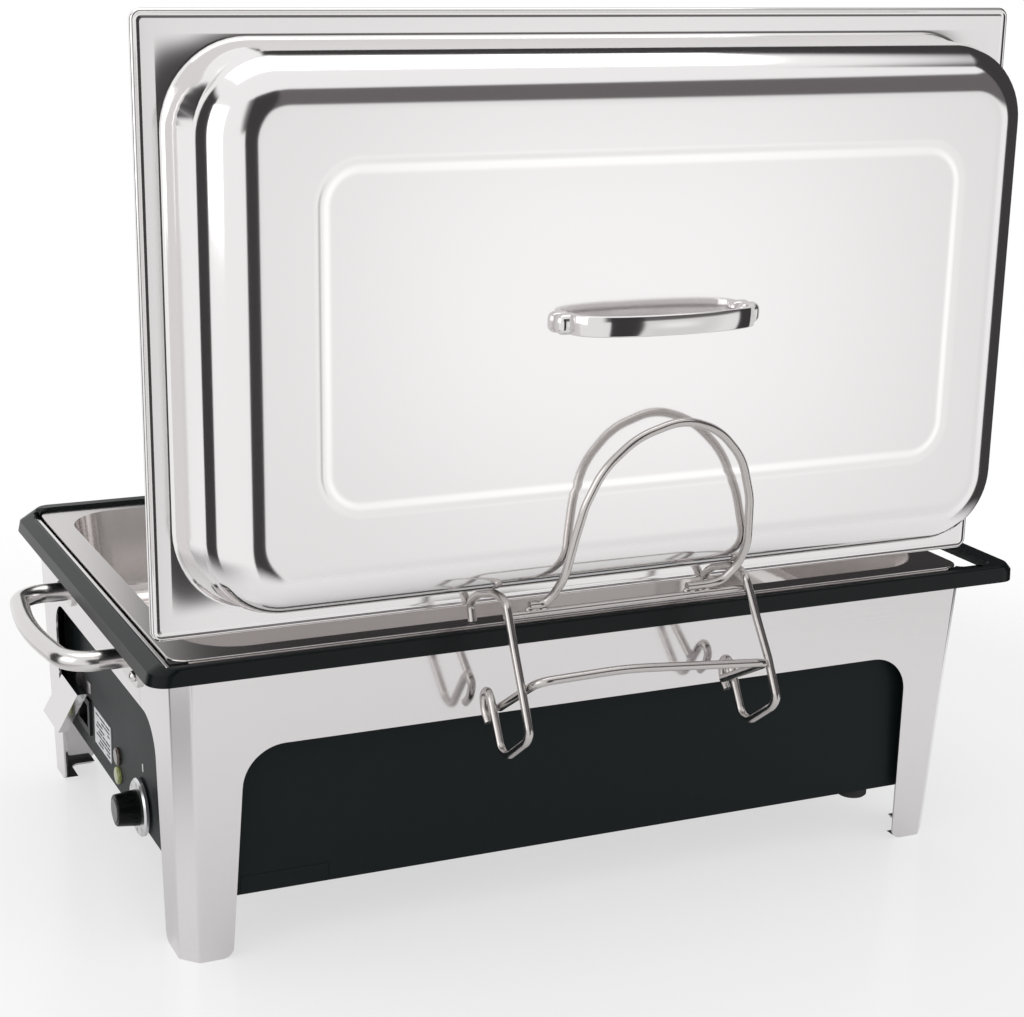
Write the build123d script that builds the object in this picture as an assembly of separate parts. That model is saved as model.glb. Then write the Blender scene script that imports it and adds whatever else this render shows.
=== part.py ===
from build123d import *
import math
import os

os.makedirs("parts", exist_ok=True)

# Electric food warmer for full-size gastronorm pans. All sizes are in millimetres.
# The pieces are built round the middle of the stand on the floor. X runs along the long side, the
# controls are on the -X end, the lid holder hangs on the -Y side and Z is up. At the end all
# pieces move together, so that the frame's origin is the middle of the whole outline on the floor.

# ---------------------------------------------------------------- shared clearances
SEAT = 0.3            # gap between pieces that lie on each other and lift apart
WELD = 0.2            # gap between wires that are spot welded to each other
REACH = 450.0         # half size of the cutting tools, beyond the whole object

# ---------------------------------------------------------------- standard pan, which sets the rest
FOOD_FLANGE_X = 265.0 # half of the standard 530 mm
FOOD_FLANGE_Y = 162.5 # half of the standard 325 mm
FOOD_FLANGE_R = 12.0
PAN_WALL = 1.0
FOOD_EDGE = 3.3       # height of the rolled edge round the flange
FOOD_OPEN_X = FOOD_FLANGE_X - 15.0
FOOD_OPEN_Y = FOOD_FLANGE_Y - 12.5
FOOD_OPEN_R = 35.0
FOOD_DEPTH = 65.0
FOOD_DRAFT = 7.0      # inset of the bottom against the mouth
FOOD_BOTTOM_R = 14.0
WATER_DEPTH = 100.0
WATER_DRAFT = 9.6
WATER_BOTTOM_R = 18.0
WATER_GAP = 0.7       # play round the food pan at the water pan's mouth
WATER_FLANGE_IN = 0.8 # inset of the water pan's flange against the food pan's
WATER_REST = 0.7      # play under the water pan's flange

# ---------------------------------------------------------------- stand
SHEET = 1.2           # polished stand sheet
STAND_TOP = 176.0     # top edge of the stand, which carries the rim
TOP_HALF_X = FOOD_FLANGE_X + 0.8
TOP_HALF_Y = FOOD_FLANGE_Y + 6.0
FLOOR_HALF_X = TOP_HALF_X - 4.5   # the walls lean in slightly towards the floor
FLOOR_HALF_Y = TOP_HALF_Y - 6.3
CORNER_LEG = 9.7      # legs of the flat 45 degree corner face
CORNER_BEND = 3.0     # bend radius on each side of the corner face
TOP_LIP = 9.0         # width of the lip turned in under the rim
FOOT_LIP = 10.0       # width of the lip turned in at each foot
LONG_ARCH_FLOOR = FLOOR_HALF_X - 30.3
LONG_ARCH_TOP = TOP_HALF_X - 41.4
LONG_ARCH_Z = STAND_TOP - 43.0
LONG_ARCH_R = 26.0
END_ARCH_FLOOR = FLOOR_HALF_Y - 35.7
END_ARCH_TOP = TOP_HALF_Y - 45.7
END_ARCH_Z = STAND_TOP - 38.5
END_ARCH_R = 23.0
FOOT_R = 7.0          # rounding of each leg's lower inner corner
SEAM_Y = TOP_HALF_Y - 73.5   # seams between the wrapped long panels and the end strips
STRAP_WIDTH = 18.0    # backing strap behind each seam
STRAP_LOW = STAND_TOP - 36.0
STRAP_HIGH = STAND_TOP - 4.0

# ---------------------------------------------------------------- black rim
RIM_TOP = STAND_TOP + 11.3   # crest on the near side and on both ends
RIM_FAR_TOP = RIM_TOP + 3.0  # raised crest along the far side
RIM_LOW_X = -TOP_HALF_X - 13.7   # lower edge of the sloping face on the control end
RIM_HIGH_X = RIM_LOW_X + 8.5     # upper edge of that face
RIM_MID_X = RIM_LOW_X + 1.5
RIM_MID_Z = STAND_TOP + 7.0      # height where both end faces start to round over
RIM_BAR_X = TOP_HALF_X + 38.7    # outer face of the grip bar
RIM_BAR_TOP_X = RIM_BAR_X - 4.5  # its upper edge, rounded over
RIM_BAR_LEAN = 0.5    # inset of the bar's face where it starts to round over
RIM_NEAR_Y = -TOP_HALF_Y - 2.0
RIM_FAR_Y = TOP_HALF_Y + 3.5
RIM_CORNER = 12.0
RIM_EDGE = 1.5        # small radius along the crest
RAMP_START = RIM_FAR_Y - 24.0    # the end bars ramp up to the far crest between these two
RAMP_END = RIM_FAR_Y - 9.0
RAMP_ROOT = 3.0       # depth of the raised part inside the bars
LEDGE_TOP = STAND_TOP + 6.7      # ledge that carries the water pan
LEDGE_HALF_X = FOOD_FLANGE_X - 8.0
LEDGE_HALF_Y = FOOD_FLANGE_Y - 5.5
LEDGE_R = 40.0
RECESS_GAP = 0.7      # play between the food pan's flange and the recess
SLOT_INNER_X = RIM_BAR_X - 15.5  # inner face of the grip bar
SLOT_HALF_Y = FOOD_FLANGE_Y + 0.3
SLOT_LAP = 4.0        # the slot opens this far into the recess
SLOT_R = 6.0
BAR_PLATE = 3.8       # thickness of the bar above its finger channel
BAR_SKIRT = 4.1       # outer wall of the bar beside the finger channel
CHANNEL_END = 6.0     # the finger channel stops this far before the slot's ends
CHANNEL_LAP = 8.0

# ---------------------------------------------------------------- bright rail in the rim
RAIL_WIDTH = 3.0
RAIL_TOP = RIM_TOP - 1.0
RAIL_END_X = FOOD_FLANGE_X + 14.0
RAIL_FAR_Y = FOOD_FLANGE_Y - 4.5
RAIL_EDGE = 0.8
RAIL_CORNER = RIM_CORNER - 9.0

# ---------------------------------------------------------------- heights of the stacked pans
WATER_TOP = LEDGE_TOP + WATER_REST + PAN_WALL
FOOD_FLANGE_TOP = WATER_TOP + SEAT + FOOD_EDGE

# ---------------------------------------------------------------- heater housing
BOX_HALF_X = FLOOR_HALF_X - 9.7
BOX_HALF_Y = FLOOR_HALF_Y - 4.2
BOX_LOW = 37.5
BOX_TOP = STAND_TOP - 36.0
BOX_WALL = 1.4
BOX_R = 5.0
COVER_STEP = BOX_LOW + 11.5   # upper edge of the bottom cover's side tabs
COVER_X1 = 26.6 - BOX_HALF_X
COVER_X2 = COVER_X1 + 55.0
COVER_PLATE = 1.4
PAD_R = 10.0
PAD_LOW = BOX_LOW - 5.9
PAD_X = (13.6 - BOX_HALF_X, BOX_HALF_X - 46.6)
PAD_Y = BOX_HALF_Y - 10.0
PAD_EDGE = 1.2
BRACKET_X = 150.0
BRACKET_WIDTH = 30.0
BRACKET_LOW = BOX_TOP - 5.0
BRACKET_HIGH = BOX_TOP + 12.0

# ---------------------------------------------------------------- heating inside the housing
ELEMENT_R = 4.0
ELEMENT_Z = BOX_LOW + 36.5
ELEMENT_X = BOX_HALF_X - 46.6
ELEMENT_PITCH = 44.0
ELEMENT_COUNT = 6
ELEMENT_BEND = 18.0
ELEMENT_LEAD = 20.0   # gap between the element's cold ends and the end wall
CLIP_PITCH = 140.0
CLIP_WIDTH = 12.0
CLIP_SHEET = 2.0
CLIP_HALF_Y = 2.5 * ELEMENT_PITCH + 20.0
BODY_DEPTH = 26.0     # thermostat body
BODY_HALF_Y = 17.0
BODY_DOWN = 11.0
BODY_UP = 9.0
BUSH_DEPTH = 8.0
EAR_LENGTH = 6.0
TERMINAL_X = 36.6 - BOX_HALF_X
TERMINAL_LENGTH = 50.0
TERMINAL_Y = -40.0
TERMINAL_WIDTH = 22.0
TERMINAL_HEIGHT = 16.0
TERMINAL_POSTS = 5
TERMINAL_BORE = 2.6

# ---------------------------------------------------------------- controls on the end wall
KNOB_Y = -46.0
KNOB_Z = 51.0
KNOB_GAP = 1.4        # between the wall and the back of the skirt
SKIRT_R = 18.5
SKIRT_THICK = 3.0
SKIRT_EDGE = 1.2
GRIP_R = 11.5
GRIP_FRONT_R = 10.0
GRIP_LENGTH = 14.0
GRIP_FLUTES = 18
FLUTE_R = 1.0
INSERT_R = 7.4
INSERT_THICK = 1.2
INSERT_PLAY = 0.05
SHAFT_R = 3.0
SHAFT_RUN = 0.1       # running clearance of the shaft in its bush
SHAFT_IN_GRIP = 8.0
SHAFT_IN_BODY = 14.0
BUSH_BORE = 5.0       # bore in the wall round the shaft
LAMP_Y = 12.3
LAMP_Z = (62.1, 48.8)
LAMP_R = 6.0
LAMP_LENS = 2.4
LAMP_STEM_R = 4.8
LAMP_STEM = 4.0
LAMP_BODY = 16.0
PLATE_Y = (29.5, 72.0)
PLATE_Z = (50.0, 75.0)
PLATE_THICK = 0.6
HOOD_Y = (78.0, 122.0)
HOOD_TOP_X = -BOX_HALF_X - 10.4
HOOD_TOP_Z = 81.0
HOOD_LOW_X = -BOX_HALF_X - 24.4
HOOD_LOW_Z = 57.0
HOOD_FLANGE = 8.0
HOOD_SHEET = 1.2
HOOD_LIP = 5.0
INLET_Y = 100.0
INLET_Z = 62.0
INLET_HALF = (14.0, 10.0)   # half width and half height of the socket body
INLET_RIM = (3.0, 2.5)      # overhang of its face plate
INLET_WALL = 2.0
INLET_FACE = 1.5
INLET_DEPTH = 20.0
INLET_RECESS = 15.0

# ---------------------------------------------------------------- end handle
HANDLE_Z = STAND_TOP - 16.5
HANDLE_Y = 68.6
HANDLE_R = 6.2
HANDLE_SHOULDER_X = -TOP_HALF_X - 35.2
HANDLE_CREST_X = HANDLE_SHOULDER_X - 9.5
HANDLE_BEND = 20.0
HANDLE_SWEEP = 260.0
RIVET_Y = HANDLE_Y + 23.4
RIVET_Z = HANDLE_Z - 3.5
RIVET_R = 3.4
TAB_THICK = 2.0       # flattened ends of the handle, riveted to the wall
TAB_HEIGHT = 14.0
TAB_PAST = 7.0        # how far each tab runs past its rivet and past the tube

# ---------------------------------------------------------------- wire holder
WIRE_R = 2.5
ROD_R = 2.25
SIDE_X = 80.5
SIDE_LEAN = {-1: 0.8, 1: -6.0}   # how far the upper part of each side wire leans outwards
TIP_RISE = 0.95        # middle of each slanted tip above its lowest point
LEAN_LOW = FOOD_FLANGE_TOP - 23.0
LEAN_HIGH = FOOD_FLANGE_TOP + 27.0
SIDE_BEND = 14.0
LOOP_BEND = 45.0
BAIL_BEND = 9.0
BAIL_SWEEP = 260.0
BAIL_LEFT_X = -75.2
BAIL_RIGHT_X = 74.6
ROD_OUT = 39.7         # the rod's place out from the flange's edge and above the flange
ROD_UP = 18.0

# ---------------------------------------------------------------- lid
LID_LENGTH = 2 * FOOD_FLANGE_X + 16.0
LID_WIDTH = 2 * FOOD_FLANGE_Y + 11.5
LID_ORIGIN = (0.0, 9.9 - FOOD_FLANGE_Y, FOOD_FLANGE_TOP + 9.05)   # middle of its lower edge
LID_LEAN = 2.06                      # degrees, top towards the pan
LID_R = 6.0
LID_SHEET = 1.2
LID_MARGIN = 16.0
LID_DOME_R = 46.0
LID_DEPTH = 60.0
LID_DRAFT = 7.0
LID_DOME_EDGE = 28.0
LID_FOOT_R = 3.0
LID_EDGE = 3.0
BEAD_HALF_U = LID_LENGTH / 2 - 73.0
BEAD_HALF_V = LID_WIDTH / 2 - 74.25
BEAD_SHIFT_U = 4.0
BEAD_SHIFT_V = 1.5
BEAD_WIDTH = 8.0
BEAD_RISE = 0.35
BEAD_SIDE = 3.2        # width of each sloping side of the bead
BEAD_R = 25.0
BEAD_SOFT = 9.0        # radius over its crest
GRAB_END_U = 59.5
GRAB_V = LID_WIDTH / 2 + 4.75
GRAB_WIDTH = 11.0
GRAB_THICK = 3.2
GRAB_CREST = 33.0      # reach of the bow above the flat of the lid
GRAB_BLOCK = 11.0
GRAB_BLOCK_RISE = 7.0
GRAB_BLOCK_OUT = 2.0
GRAB_ROOT = 5.0
GRAB_RUN = 20.0        # length of each sloping end of the bow
GRAB_DIP = 8.0
GRAB_BENDS = (24.0, 120.0, 24.0)
GRAB_EDGE = 1.2

nodes = {}


def save(name, shape):
    """Keep one finished node under its name."""
    nodes[name] = shape


def box_between(low, high):
    """Axis-aligned box between two corners."""
    size = [b - a for a, b in zip(low, high)]
    centre = [(a + b) / 2 for a, b in zip(low, high)]
    return Pos(*centre) * Box(*size)


def wire(points, bends, radius):
    """Round wire along straight runs joined by tangent bends."""
    path = FilletPolyline(*points, radius=bends)
    start = Plane(origin=path @ 0, z_dir=path % 0)
    return sweep(start * Circle(radius), path=path)


# ================================================================ stand
def stand_outline(inset, height):
    """Octagonal outline of the stand at one height, with soft bends."""
    part_way = height / STAND_TOP
    half_x = FLOOR_HALF_X + (TOP_HALF_X - FLOOR_HALF_X) * part_way - inset
    half_y = FLOOR_HALF_Y + (TOP_HALF_Y - FLOOR_HALF_Y) * part_way - inset
    leg = CORNER_LEG - inset * (2 - math.sqrt(2))
    points = [
        (half_x, half_y - leg),
        (half_x - leg, half_y),
        (leg - half_x, half_y),
        (-half_x, half_y - leg),
        (-half_x, leg - half_y),
        (leg - half_x, -half_y),
        (half_x - leg, -half_y),
        (half_x, leg - half_y),
    ]
    face = make_face(Polyline(*points, close=True))
    face = fillet(face.vertices(), CORNER_BEND)
    return Pos(0, 0, height) * face


def stand_block(inset, low, high):
    """Solid bounded by the stand's leaning walls, moved in by an inset."""
    return loft([stand_outline(inset, low), stand_outline(inset, high)], ruled=True)


def arch_face(floor_half, top_half, height, bend):
    """Arch profile: wide at the floor, narrower at the top, with rounded leg corners."""
    beyond = floor_half + 25
    points = [
        (-beyond, -10),
        (-beyond, 0),
        (-floor_half, 0),
        (-top_half, height),
        (top_half, height),
        (floor_half, 0),
        (beyond, 0),
        (beyond, -10),
    ]
    face = make_face(Polyline(*points, close=True))
    upper = [v for v in face.vertices() if v.Y > height - 1]
    face = fillet(upper, bend)
    lower = [v for v in face.vertices() if abs(v.Y) < 0.1 and abs(v.X) < beyond - 1]
    return fillet(lower, FOOT_R)


stand_shell = stand_block(0, 0, STAND_TOP) - stand_block(SHEET, -1, STAND_TOP + 1)
top_ring = stand_block(0, STAND_TOP - SHEET, STAND_TOP)
top_ring -= stand_block(TOP_LIP, STAND_TOP - SHEET - 1, STAND_TOP + 1)
foot_ring = stand_block(0, 0, SHEET) - stand_block(FOOT_LIP, -1, SHEET + 1)

long_arch = arch_face(LONG_ARCH_FLOOR, LONG_ARCH_TOP, LONG_ARCH_Z, LONG_ARCH_R)
end_arch = arch_face(END_ARCH_FLOOR, END_ARCH_TOP, END_ARCH_Z, END_ARCH_R)
long_cut = Plane.XZ * extrude(Pos(0, 0, -REACH) * long_arch, amount=2 * REACH)
end_cut = Plane.YZ * extrude(Pos(0, 0, -REACH) * end_arch, amount=2 * REACH)
stand_shell = stand_shell - long_cut - end_cut
foot_ring = foot_ring - long_cut - end_cut
stand_shell = stand_shell + top_ring + foot_ring

near_half = box_between((-REACH, -REACH, -1), (REACH, -SEAM_Y - WELD / 2, REACH))
far_half = box_between((-REACH, SEAM_Y + WELD / 2, -1), (REACH, REACH, REACH))
control_part = box_between((-REACH, WELD / 2 - SEAM_Y, -1), (0, SEAM_Y - WELD / 2, REACH))
grip_part = box_between((0, WELD / 2 - SEAM_Y, -1), (REACH, SEAM_Y - WELD / 2, REACH))
save("near_side_panel", stand_shell & near_half)
save("far_side_panel", stand_shell & far_half)
save("control_end_panel", stand_shell & control_part)
save("grip_end_panel", stand_shell & grip_part)

strap_layer = stand_block(SHEET, 0, STAND_TOP) - stand_block(2 * SHEET, -1, STAND_TOP + 1)
straps = []
for side_x in (-1, 1):
    for side_y in (-1, 1):
        low_y = side_y * SEAM_Y - STRAP_WIDTH / 2
        zone = box_between(
            (min(0, side_x * REACH), low_y, STRAP_LOW),
            (max(0, side_x * REACH), low_y + STRAP_WIDTH, STRAP_HIGH),
        )
        straps.append(strap_layer & zone)
save("seam_straps", Compound(children=straps))

# ================================================================ black rim
def rim_section(low_x, high_x, height):
    """Rounded outline of the rim at one height."""
    middle = Pos((low_x + high_x) / 2, (RIM_NEAR_Y + RIM_FAR_Y) / 2, height)
    return middle * RectangleRounded(high_x - low_x, RIM_FAR_Y - RIM_NEAR_Y, RIM_CORNER)


def rim_block(height):
    """Rim raised to one height, rounding over at both ends, with a soft crest."""
    slope = (height - RIM_MID_Z) / (RIM_TOP - RIM_MID_Z)
    sections = [
        rim_section(RIM_LOW_X, RIM_BAR_X, STAND_TOP),
        rim_section(RIM_MID_X, RIM_BAR_X - RIM_BAR_LEAN, RIM_MID_Z),
        rim_section(
            RIM_MID_X + (RIM_HIGH_X - RIM_MID_X) * slope,
            RIM_BAR_X + (RIM_BAR_TOP_X - RIM_BAR_X) * slope,
            height,
        ),
    ]
    block = loft(sections, ruled=True)
    return fillet(block.edges().filter_by(lambda e: e.center().Z > height - 0.01), RIM_EDGE)


ramp_points = [
    (RAMP_START, RIM_TOP - RAMP_ROOT),
    (RAMP_START, RIM_TOP - 0.2),
    (RAMP_END, RIM_FAR_TOP),
    (RAMP_END, RIM_FAR_TOP + 5),
    (RIM_FAR_Y + 5, RIM_FAR_TOP + 5),
    (RIM_FAR_Y + 5, RIM_TOP - RAMP_ROOT),
]
ramp_face = Plane.YZ * make_face(Polyline(*ramp_points, close=True))
ramp = extrude(Pos(-REACH, 0, 0) * ramp_face, amount=2 * REACH, dir=(1, 0, 0))
rim = rim_block(RIM_TOP) + (rim_block(RIM_FAR_TOP) & ramp)

recess_x = FOOD_FLANGE_X + RECESS_GAP
recess_y = FOOD_FLANGE_Y + RECESS_GAP
ledge_face = RectangleRounded(2 * LEDGE_HALF_X, 2 * LEDGE_HALF_Y, LEDGE_R)
through = extrude(Pos(0, 0, STAND_TOP - 1) * ledge_face, amount=REACH)
recess_face = RectangleRounded(2 * recess_x, 2 * recess_y, FOOD_FLANGE_R)
recess = extrude(Pos(0, 0, LEDGE_TOP) * recess_face, amount=REACH)
slot_mid = (recess_x - SLOT_LAP + SLOT_INNER_X) / 2
slot_length = SLOT_INNER_X - recess_x + SLOT_LAP
slot_face = RectangleRounded(slot_length, 2 * SLOT_HALF_Y, SLOT_R)
slot = extrude(Pos(slot_mid, 0, STAND_TOP - 1) * slot_face, amount=REACH)
finger_depth = RIM_TOP - BAR_PLATE
finger_channel = box_between(
    (SLOT_INNER_X - CHANNEL_LAP, CHANNEL_END - SLOT_HALF_Y, STAND_TOP - 1),
    (RIM_BAR_X - BAR_SKIRT, SLOT_HALF_Y - CHANNEL_END, finger_depth),
)
rim -= through
rim -= recess
rim -= slot
rim -= finger_channel

rail_out_x = recess_x + RAIL_WIDTH + WELD
rail_out_y = recess_y + RAIL_WIDTH + WELD
rail_groove_near = box_between(
    (-rail_out_x - WELD, -rail_out_y - WELD, LEDGE_TOP),
    (RAIL_END_X + WELD, -recess_y + 0.1, RIM_FAR_TOP),
)
rail_groove_end = box_between(
    (-rail_out_x - WELD, -recess_y, LEDGE_TOP),
    (-recess_x + 0.1, RAIL_FAR_Y + WELD, RIM_FAR_TOP),
)
rim -= rail_groove_near
rim -= rail_groove_end
save("top_rim", rim)

rail_near = box_between(
    (-rail_out_x, -rail_out_y, LEDGE_TOP), (RAIL_END_X, -rail_out_y + RAIL_WIDTH, RAIL_TOP)
)
rail_end = box_between(
    (-rail_out_x, -rail_out_y, LEDGE_TOP), (-rail_out_x + RAIL_WIDTH, RAIL_FAR_Y, RAIL_TOP)
)
rail = rail_near + rail_end
rail_corner = rail.edges().filter_by(Axis.Z).sort_by(lambda e: e.center().X + e.center().Y)[0]
rail = fillet(rail_corner, RAIL_CORNER)
rail_crest = rail.edges().filter_by(lambda e: e.center().Z > RAIL_TOP - 0.01)
rail = fillet(rail_crest, RAIL_EDGE)
save("rim_inlay", rail)


# ================================================================ pans
def tub(half_x, half_y, corner, top, depth, draft, bottom_r):
    """Solid drafted tub with a rounded bottom edge, mouth up."""
    mouth = Pos(0, 0, top) * RectangleRounded(2 * half_x, 2 * half_y, corner)
    floor = Pos(0, 0, top - depth) * RectangleRounded(
        2 * (half_x - draft), 2 * (half_y - draft), corner - draft * 0.4
    )
    body = loft([floor, mouth], ruled=True)
    bottom = body.edges().filter_by(lambda e: e.center().Z < top - depth + 0.01)
    return fillet(bottom, bottom_r)


def pan(mouth_x, mouth_y, corner, flange, top, depth, draft, bottom_r, edge):
    """Pressed pan: flange, rolled edge, drafted walls and rounded bottom."""
    flange_x, flange_y, flange_r = flange
    wall = PAN_WALL
    flange_face = RectangleRounded(2 * flange_x, 2 * flange_y, flange_r)
    plate = extrude(Pos(0, 0, top - wall) * flange_face, amount=wall)
    outer_corner = corner + wall
    outer_depth = depth + wall / 2
    solid = plate + tub(
        mouth_x + wall, mouth_y + wall, outer_corner, top - wall / 2, outer_depth, draft, bottom_r + wall
    )
    if edge > 0:
        inner_face = RectangleRounded(2 * (flange_x - wall), 2 * (flange_y - wall), flange_r - wall)
        edge_block = extrude(Pos(0, 0, top - edge) * flange_face, amount=edge)
        edge_core = extrude(Pos(0, 0, top - edge - 1) * inner_face, amount=edge + 2)
        solid = solid + (edge_block - edge_core)
    hollow = tub(mouth_x, mouth_y, corner, top + 0.01, depth + 0.01 - wall, draft, bottom_r)
    return solid - hollow


food_pan = pan(
    FOOD_OPEN_X, FOOD_OPEN_Y, FOOD_OPEN_R,
    (FOOD_FLANGE_X, FOOD_FLANGE_Y, FOOD_FLANGE_R),
    FOOD_FLANGE_TOP, FOOD_DEPTH, FOOD_DRAFT, FOOD_BOTTOM_R, FOOD_EDGE,
)
outer_top = food_pan.edges().filter_by(
    lambda e: e.center().Z > FOOD_FLANGE_TOP - 0.02
    and (abs(e.center().X) > FOOD_OPEN_X + 3 or abs(e.center().Y) > FOOD_OPEN_Y + 3)
)
food_pan = fillet(outer_top, 0.7)
save("food_pan", food_pan)

water_pan = pan(
    FOOD_OPEN_X + PAN_WALL + WATER_GAP, FOOD_OPEN_Y + PAN_WALL + WATER_GAP, FOOD_OPEN_R + 2,
    (FOOD_FLANGE_X - WATER_FLANGE_IN, FOOD_FLANGE_Y - WATER_FLANGE_IN, FOOD_FLANGE_R),
    WATER_TOP, WATER_DEPTH, WATER_DRAFT, WATER_BOTTOM_R, 0,
)
save("water_pan", water_pan)

# ================================================================ heater housing
box_face = RectangleRounded(2 * BOX_HALF_X, 2 * BOX_HALF_Y, BOX_R)
box_outer = extrude(Pos(0, 0, BOX_LOW) * box_face, amount=BOX_TOP - BOX_LOW)
box_inner = extrude(
    Pos(0, 0, BOX_LOW - 1)
    * RectangleRounded(2 * (BOX_HALF_X - BOX_WALL), 2 * (BOX_HALF_Y - BOX_WALL), BOX_R - BOX_WALL),
    amount=BOX_TOP - BOX_LOW + 2,
)
housing = box_outer - box_inner
tab_notch = box_between(
    (COVER_X1 - WELD, -REACH, BOX_LOW - 1), (COVER_X2 + WELD, REACH, COVER_STEP + WELD)
)
housing -= tab_notch
for bore_y, bore_z, bore_r in (
    (KNOB_Y, KNOB_Z, BUSH_BORE),
    (LAMP_Y, LAMP_Z[0], LAMP_STEM_R + WELD),
    (LAMP_Y, LAMP_Z[1], LAMP_STEM_R + WELD),
):
    housing -= Pos(-BOX_HALF_X, bore_y, bore_z) * Rot(0, 90, 0) * Cylinder(bore_r, 20)
inlet_window = box_between(
    (-BOX_HALF_X - 10, INLET_Y - INLET_HALF[0] - WELD, INLET_Z - INLET_HALF[1] - WELD),
    (-BOX_HALF_X + 10, INLET_Y + INLET_HALF[0] + WELD, INLET_Z + INLET_HALF[1] + WELD),
)
housing -= inlet_window
save("heater_housing", housing)

cover = extrude(
    Pos(0, 0, BOX_LOW)
    * RectangleRounded(
        2 * (BOX_HALF_X - BOX_WALL - WELD), 2 * (BOX_HALF_Y - BOX_WALL - WELD), BOX_R - BOX_WALL
    ),
    amount=COVER_PLATE,
)
for side in (-1, 1):
    outer_y = side * BOX_HALF_Y
    inner_y = side * (BOX_HALF_Y - BOX_WALL)
    cover += box_between(
        (COVER_X1, min(outer_y, inner_y), BOX_LOW), (COVER_X2, max(outer_y, inner_y), COVER_STEP)
    )
    foot_y = side * (BOX_HALF_Y - BOX_WALL - 1)
    cover += box_between(
        (COVER_X1, min(outer_y, foot_y), BOX_LOW), (COVER_X2, max(outer_y, foot_y), BOX_LOW + COVER_PLATE)
    )
save("housing_bottom_cover", cover)

pads = [
    Pos(pad_x, sy * PAD_Y, PAD_LOW)
    * Cylinder(PAD_R, BOX_LOW - PAD_LOW, align=(Align.CENTER, Align.CENTER, Align.MIN))
    for pad_x in PAD_X
    for sy in (-1, 1)
]
pads = [chamfer(pad.edges().group_by(Axis.Z)[0], PAD_EDGE) for pad in pads]
save("housing_pads", Compound(children=pads))

stand_inside = stand_block(SHEET, 0, STAND_TOP)
brackets = []
for sx in (-1, 1):
    for sy in (-1, 1):
        y1, y2 = sorted((sy * BOX_HALF_Y, sy * (TOP_HALF_Y + 5)))
        middle = sx * BRACKET_X
        block = box_between(
            (middle - BRACKET_WIDTH / 2, y1, BRACKET_LOW), (middle + BRACKET_WIDTH / 2, y2, BRACKET_HIGH)
        )
        brackets.append(block & stand_inside)
save("housing_brackets", Compound(children=brackets))

# ---------------------------------------------------------------- inside the housing
element_start = ELEMENT_LEAD - BOX_HALF_X
first_run = -ELEMENT_PITCH * (ELEMENT_COUNT - 1) / 2
element_points = [(element_start, first_run, ELEMENT_Z)]
for index in range(ELEMENT_COUNT):
    run_y = first_run + index * ELEMENT_PITCH
    ends = (-ELEMENT_X, ELEMENT_X) if index % 2 == 0 else (ELEMENT_X, -ELEMENT_X)
    if index > 0:
        element_points.append((ends[0], run_y, ELEMENT_Z))
    if index < ELEMENT_COUNT - 1:
        element_points.append((ends[1], run_y, ELEMENT_Z))
element_points.append((element_start, -first_run, ELEMENT_Z))
save("heating_element", wire(element_points, ELEMENT_BEND, ELEMENT_R))

clips = []
clip_top = ELEMENT_Z - ELEMENT_R - WELD
clip_low = clip_top - CLIP_SHEET
for clip_x in (-CLIP_PITCH, 0.0, CLIP_PITCH):
    x1 = clip_x - CLIP_WIDTH / 2
    x2 = clip_x + CLIP_WIDTH / 2
    clip = box_between((x1, -CLIP_HALF_Y, clip_low), (x2, CLIP_HALF_Y, clip_top))
    clip += box_between(
        (x1, -CLIP_HALF_Y, BOX_LOW + COVER_PLATE), (x2, CLIP_SHEET - CLIP_HALF_Y, clip_low)
    )
    clip += box_between(
        (x1, CLIP_HALF_Y - CLIP_SHEET, BOX_LOW + COVER_PLATE), (x2, CLIP_HALF_Y, clip_low)
    )
    clips.append(clip)
save("element_supports", Compound(children=clips))

body_x = BOX_WALL - BOX_HALF_X
thermostat = box_between(
    (body_x, KNOB_Y - BODY_HALF_Y, KNOB_Z - BODY_DOWN),
    (body_x + BODY_DEPTH, KNOB_Y + BODY_HALF_Y, KNOB_Z + BODY_UP),
)
bush_middle = Pos(body_x + BUSH_DEPTH, KNOB_Y, KNOB_Z) * Rot(0, 90, 0)
thermostat -= bush_middle * Cylinder(SHAFT_R + SHAFT_RUN, 2 * BUSH_DEPTH + 0.02)
thermostat = thermostat + box_between(
    (body_x + BUSH_DEPTH, KNOB_Y + BODY_HALF_Y, KNOB_Z - 4),
    (body_x + BUSH_DEPTH + 4, KNOB_Y + BODY_HALF_Y + EAR_LENGTH, KNOB_Z + 2),
)
save("thermostat_body", thermostat)

terminal_low = BOX_LOW + COVER_PLATE
terminal = box_between(
    (TERMINAL_X, TERMINAL_Y, terminal_low),
    (TERMINAL_X + TERMINAL_LENGTH, TERMINAL_Y + TERMINAL_WIDTH, terminal_low + TERMINAL_HEIGHT),
)
post_pitch = TERMINAL_LENGTH / TERMINAL_POSTS
for post in range(TERMINAL_POSTS):
    post_x = TERMINAL_X + post_pitch * (post + 0.5)
    post_place = Pos(post_x, TERMINAL_Y + TERMINAL_WIDTH / 2, terminal_low + TERMINAL_HEIGHT)
    terminal -= post_place * Cylinder(TERMINAL_BORE, 12)
save("terminal_block", terminal)

# ================================================================ controls
knob_axis = Pos(-BOX_HALF_X, KNOB_Y, KNOB_Z) * Rot(0, -90, 0)
RISING = (Align.CENTER, Align.CENTER, Align.MIN)
skirt = Pos(0, 0, KNOB_GAP) * Cylinder(SKIRT_R, SKIRT_THICK, align=RISING)
skirt = chamfer(skirt.edges().group_by(Axis.Z)[-1], SKIRT_EDGE)
skirt_front = KNOB_GAP + SKIRT_THICK
save("knob_skirt", knob_axis * (skirt - Cylinder(SHAFT_R, 40)))

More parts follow.
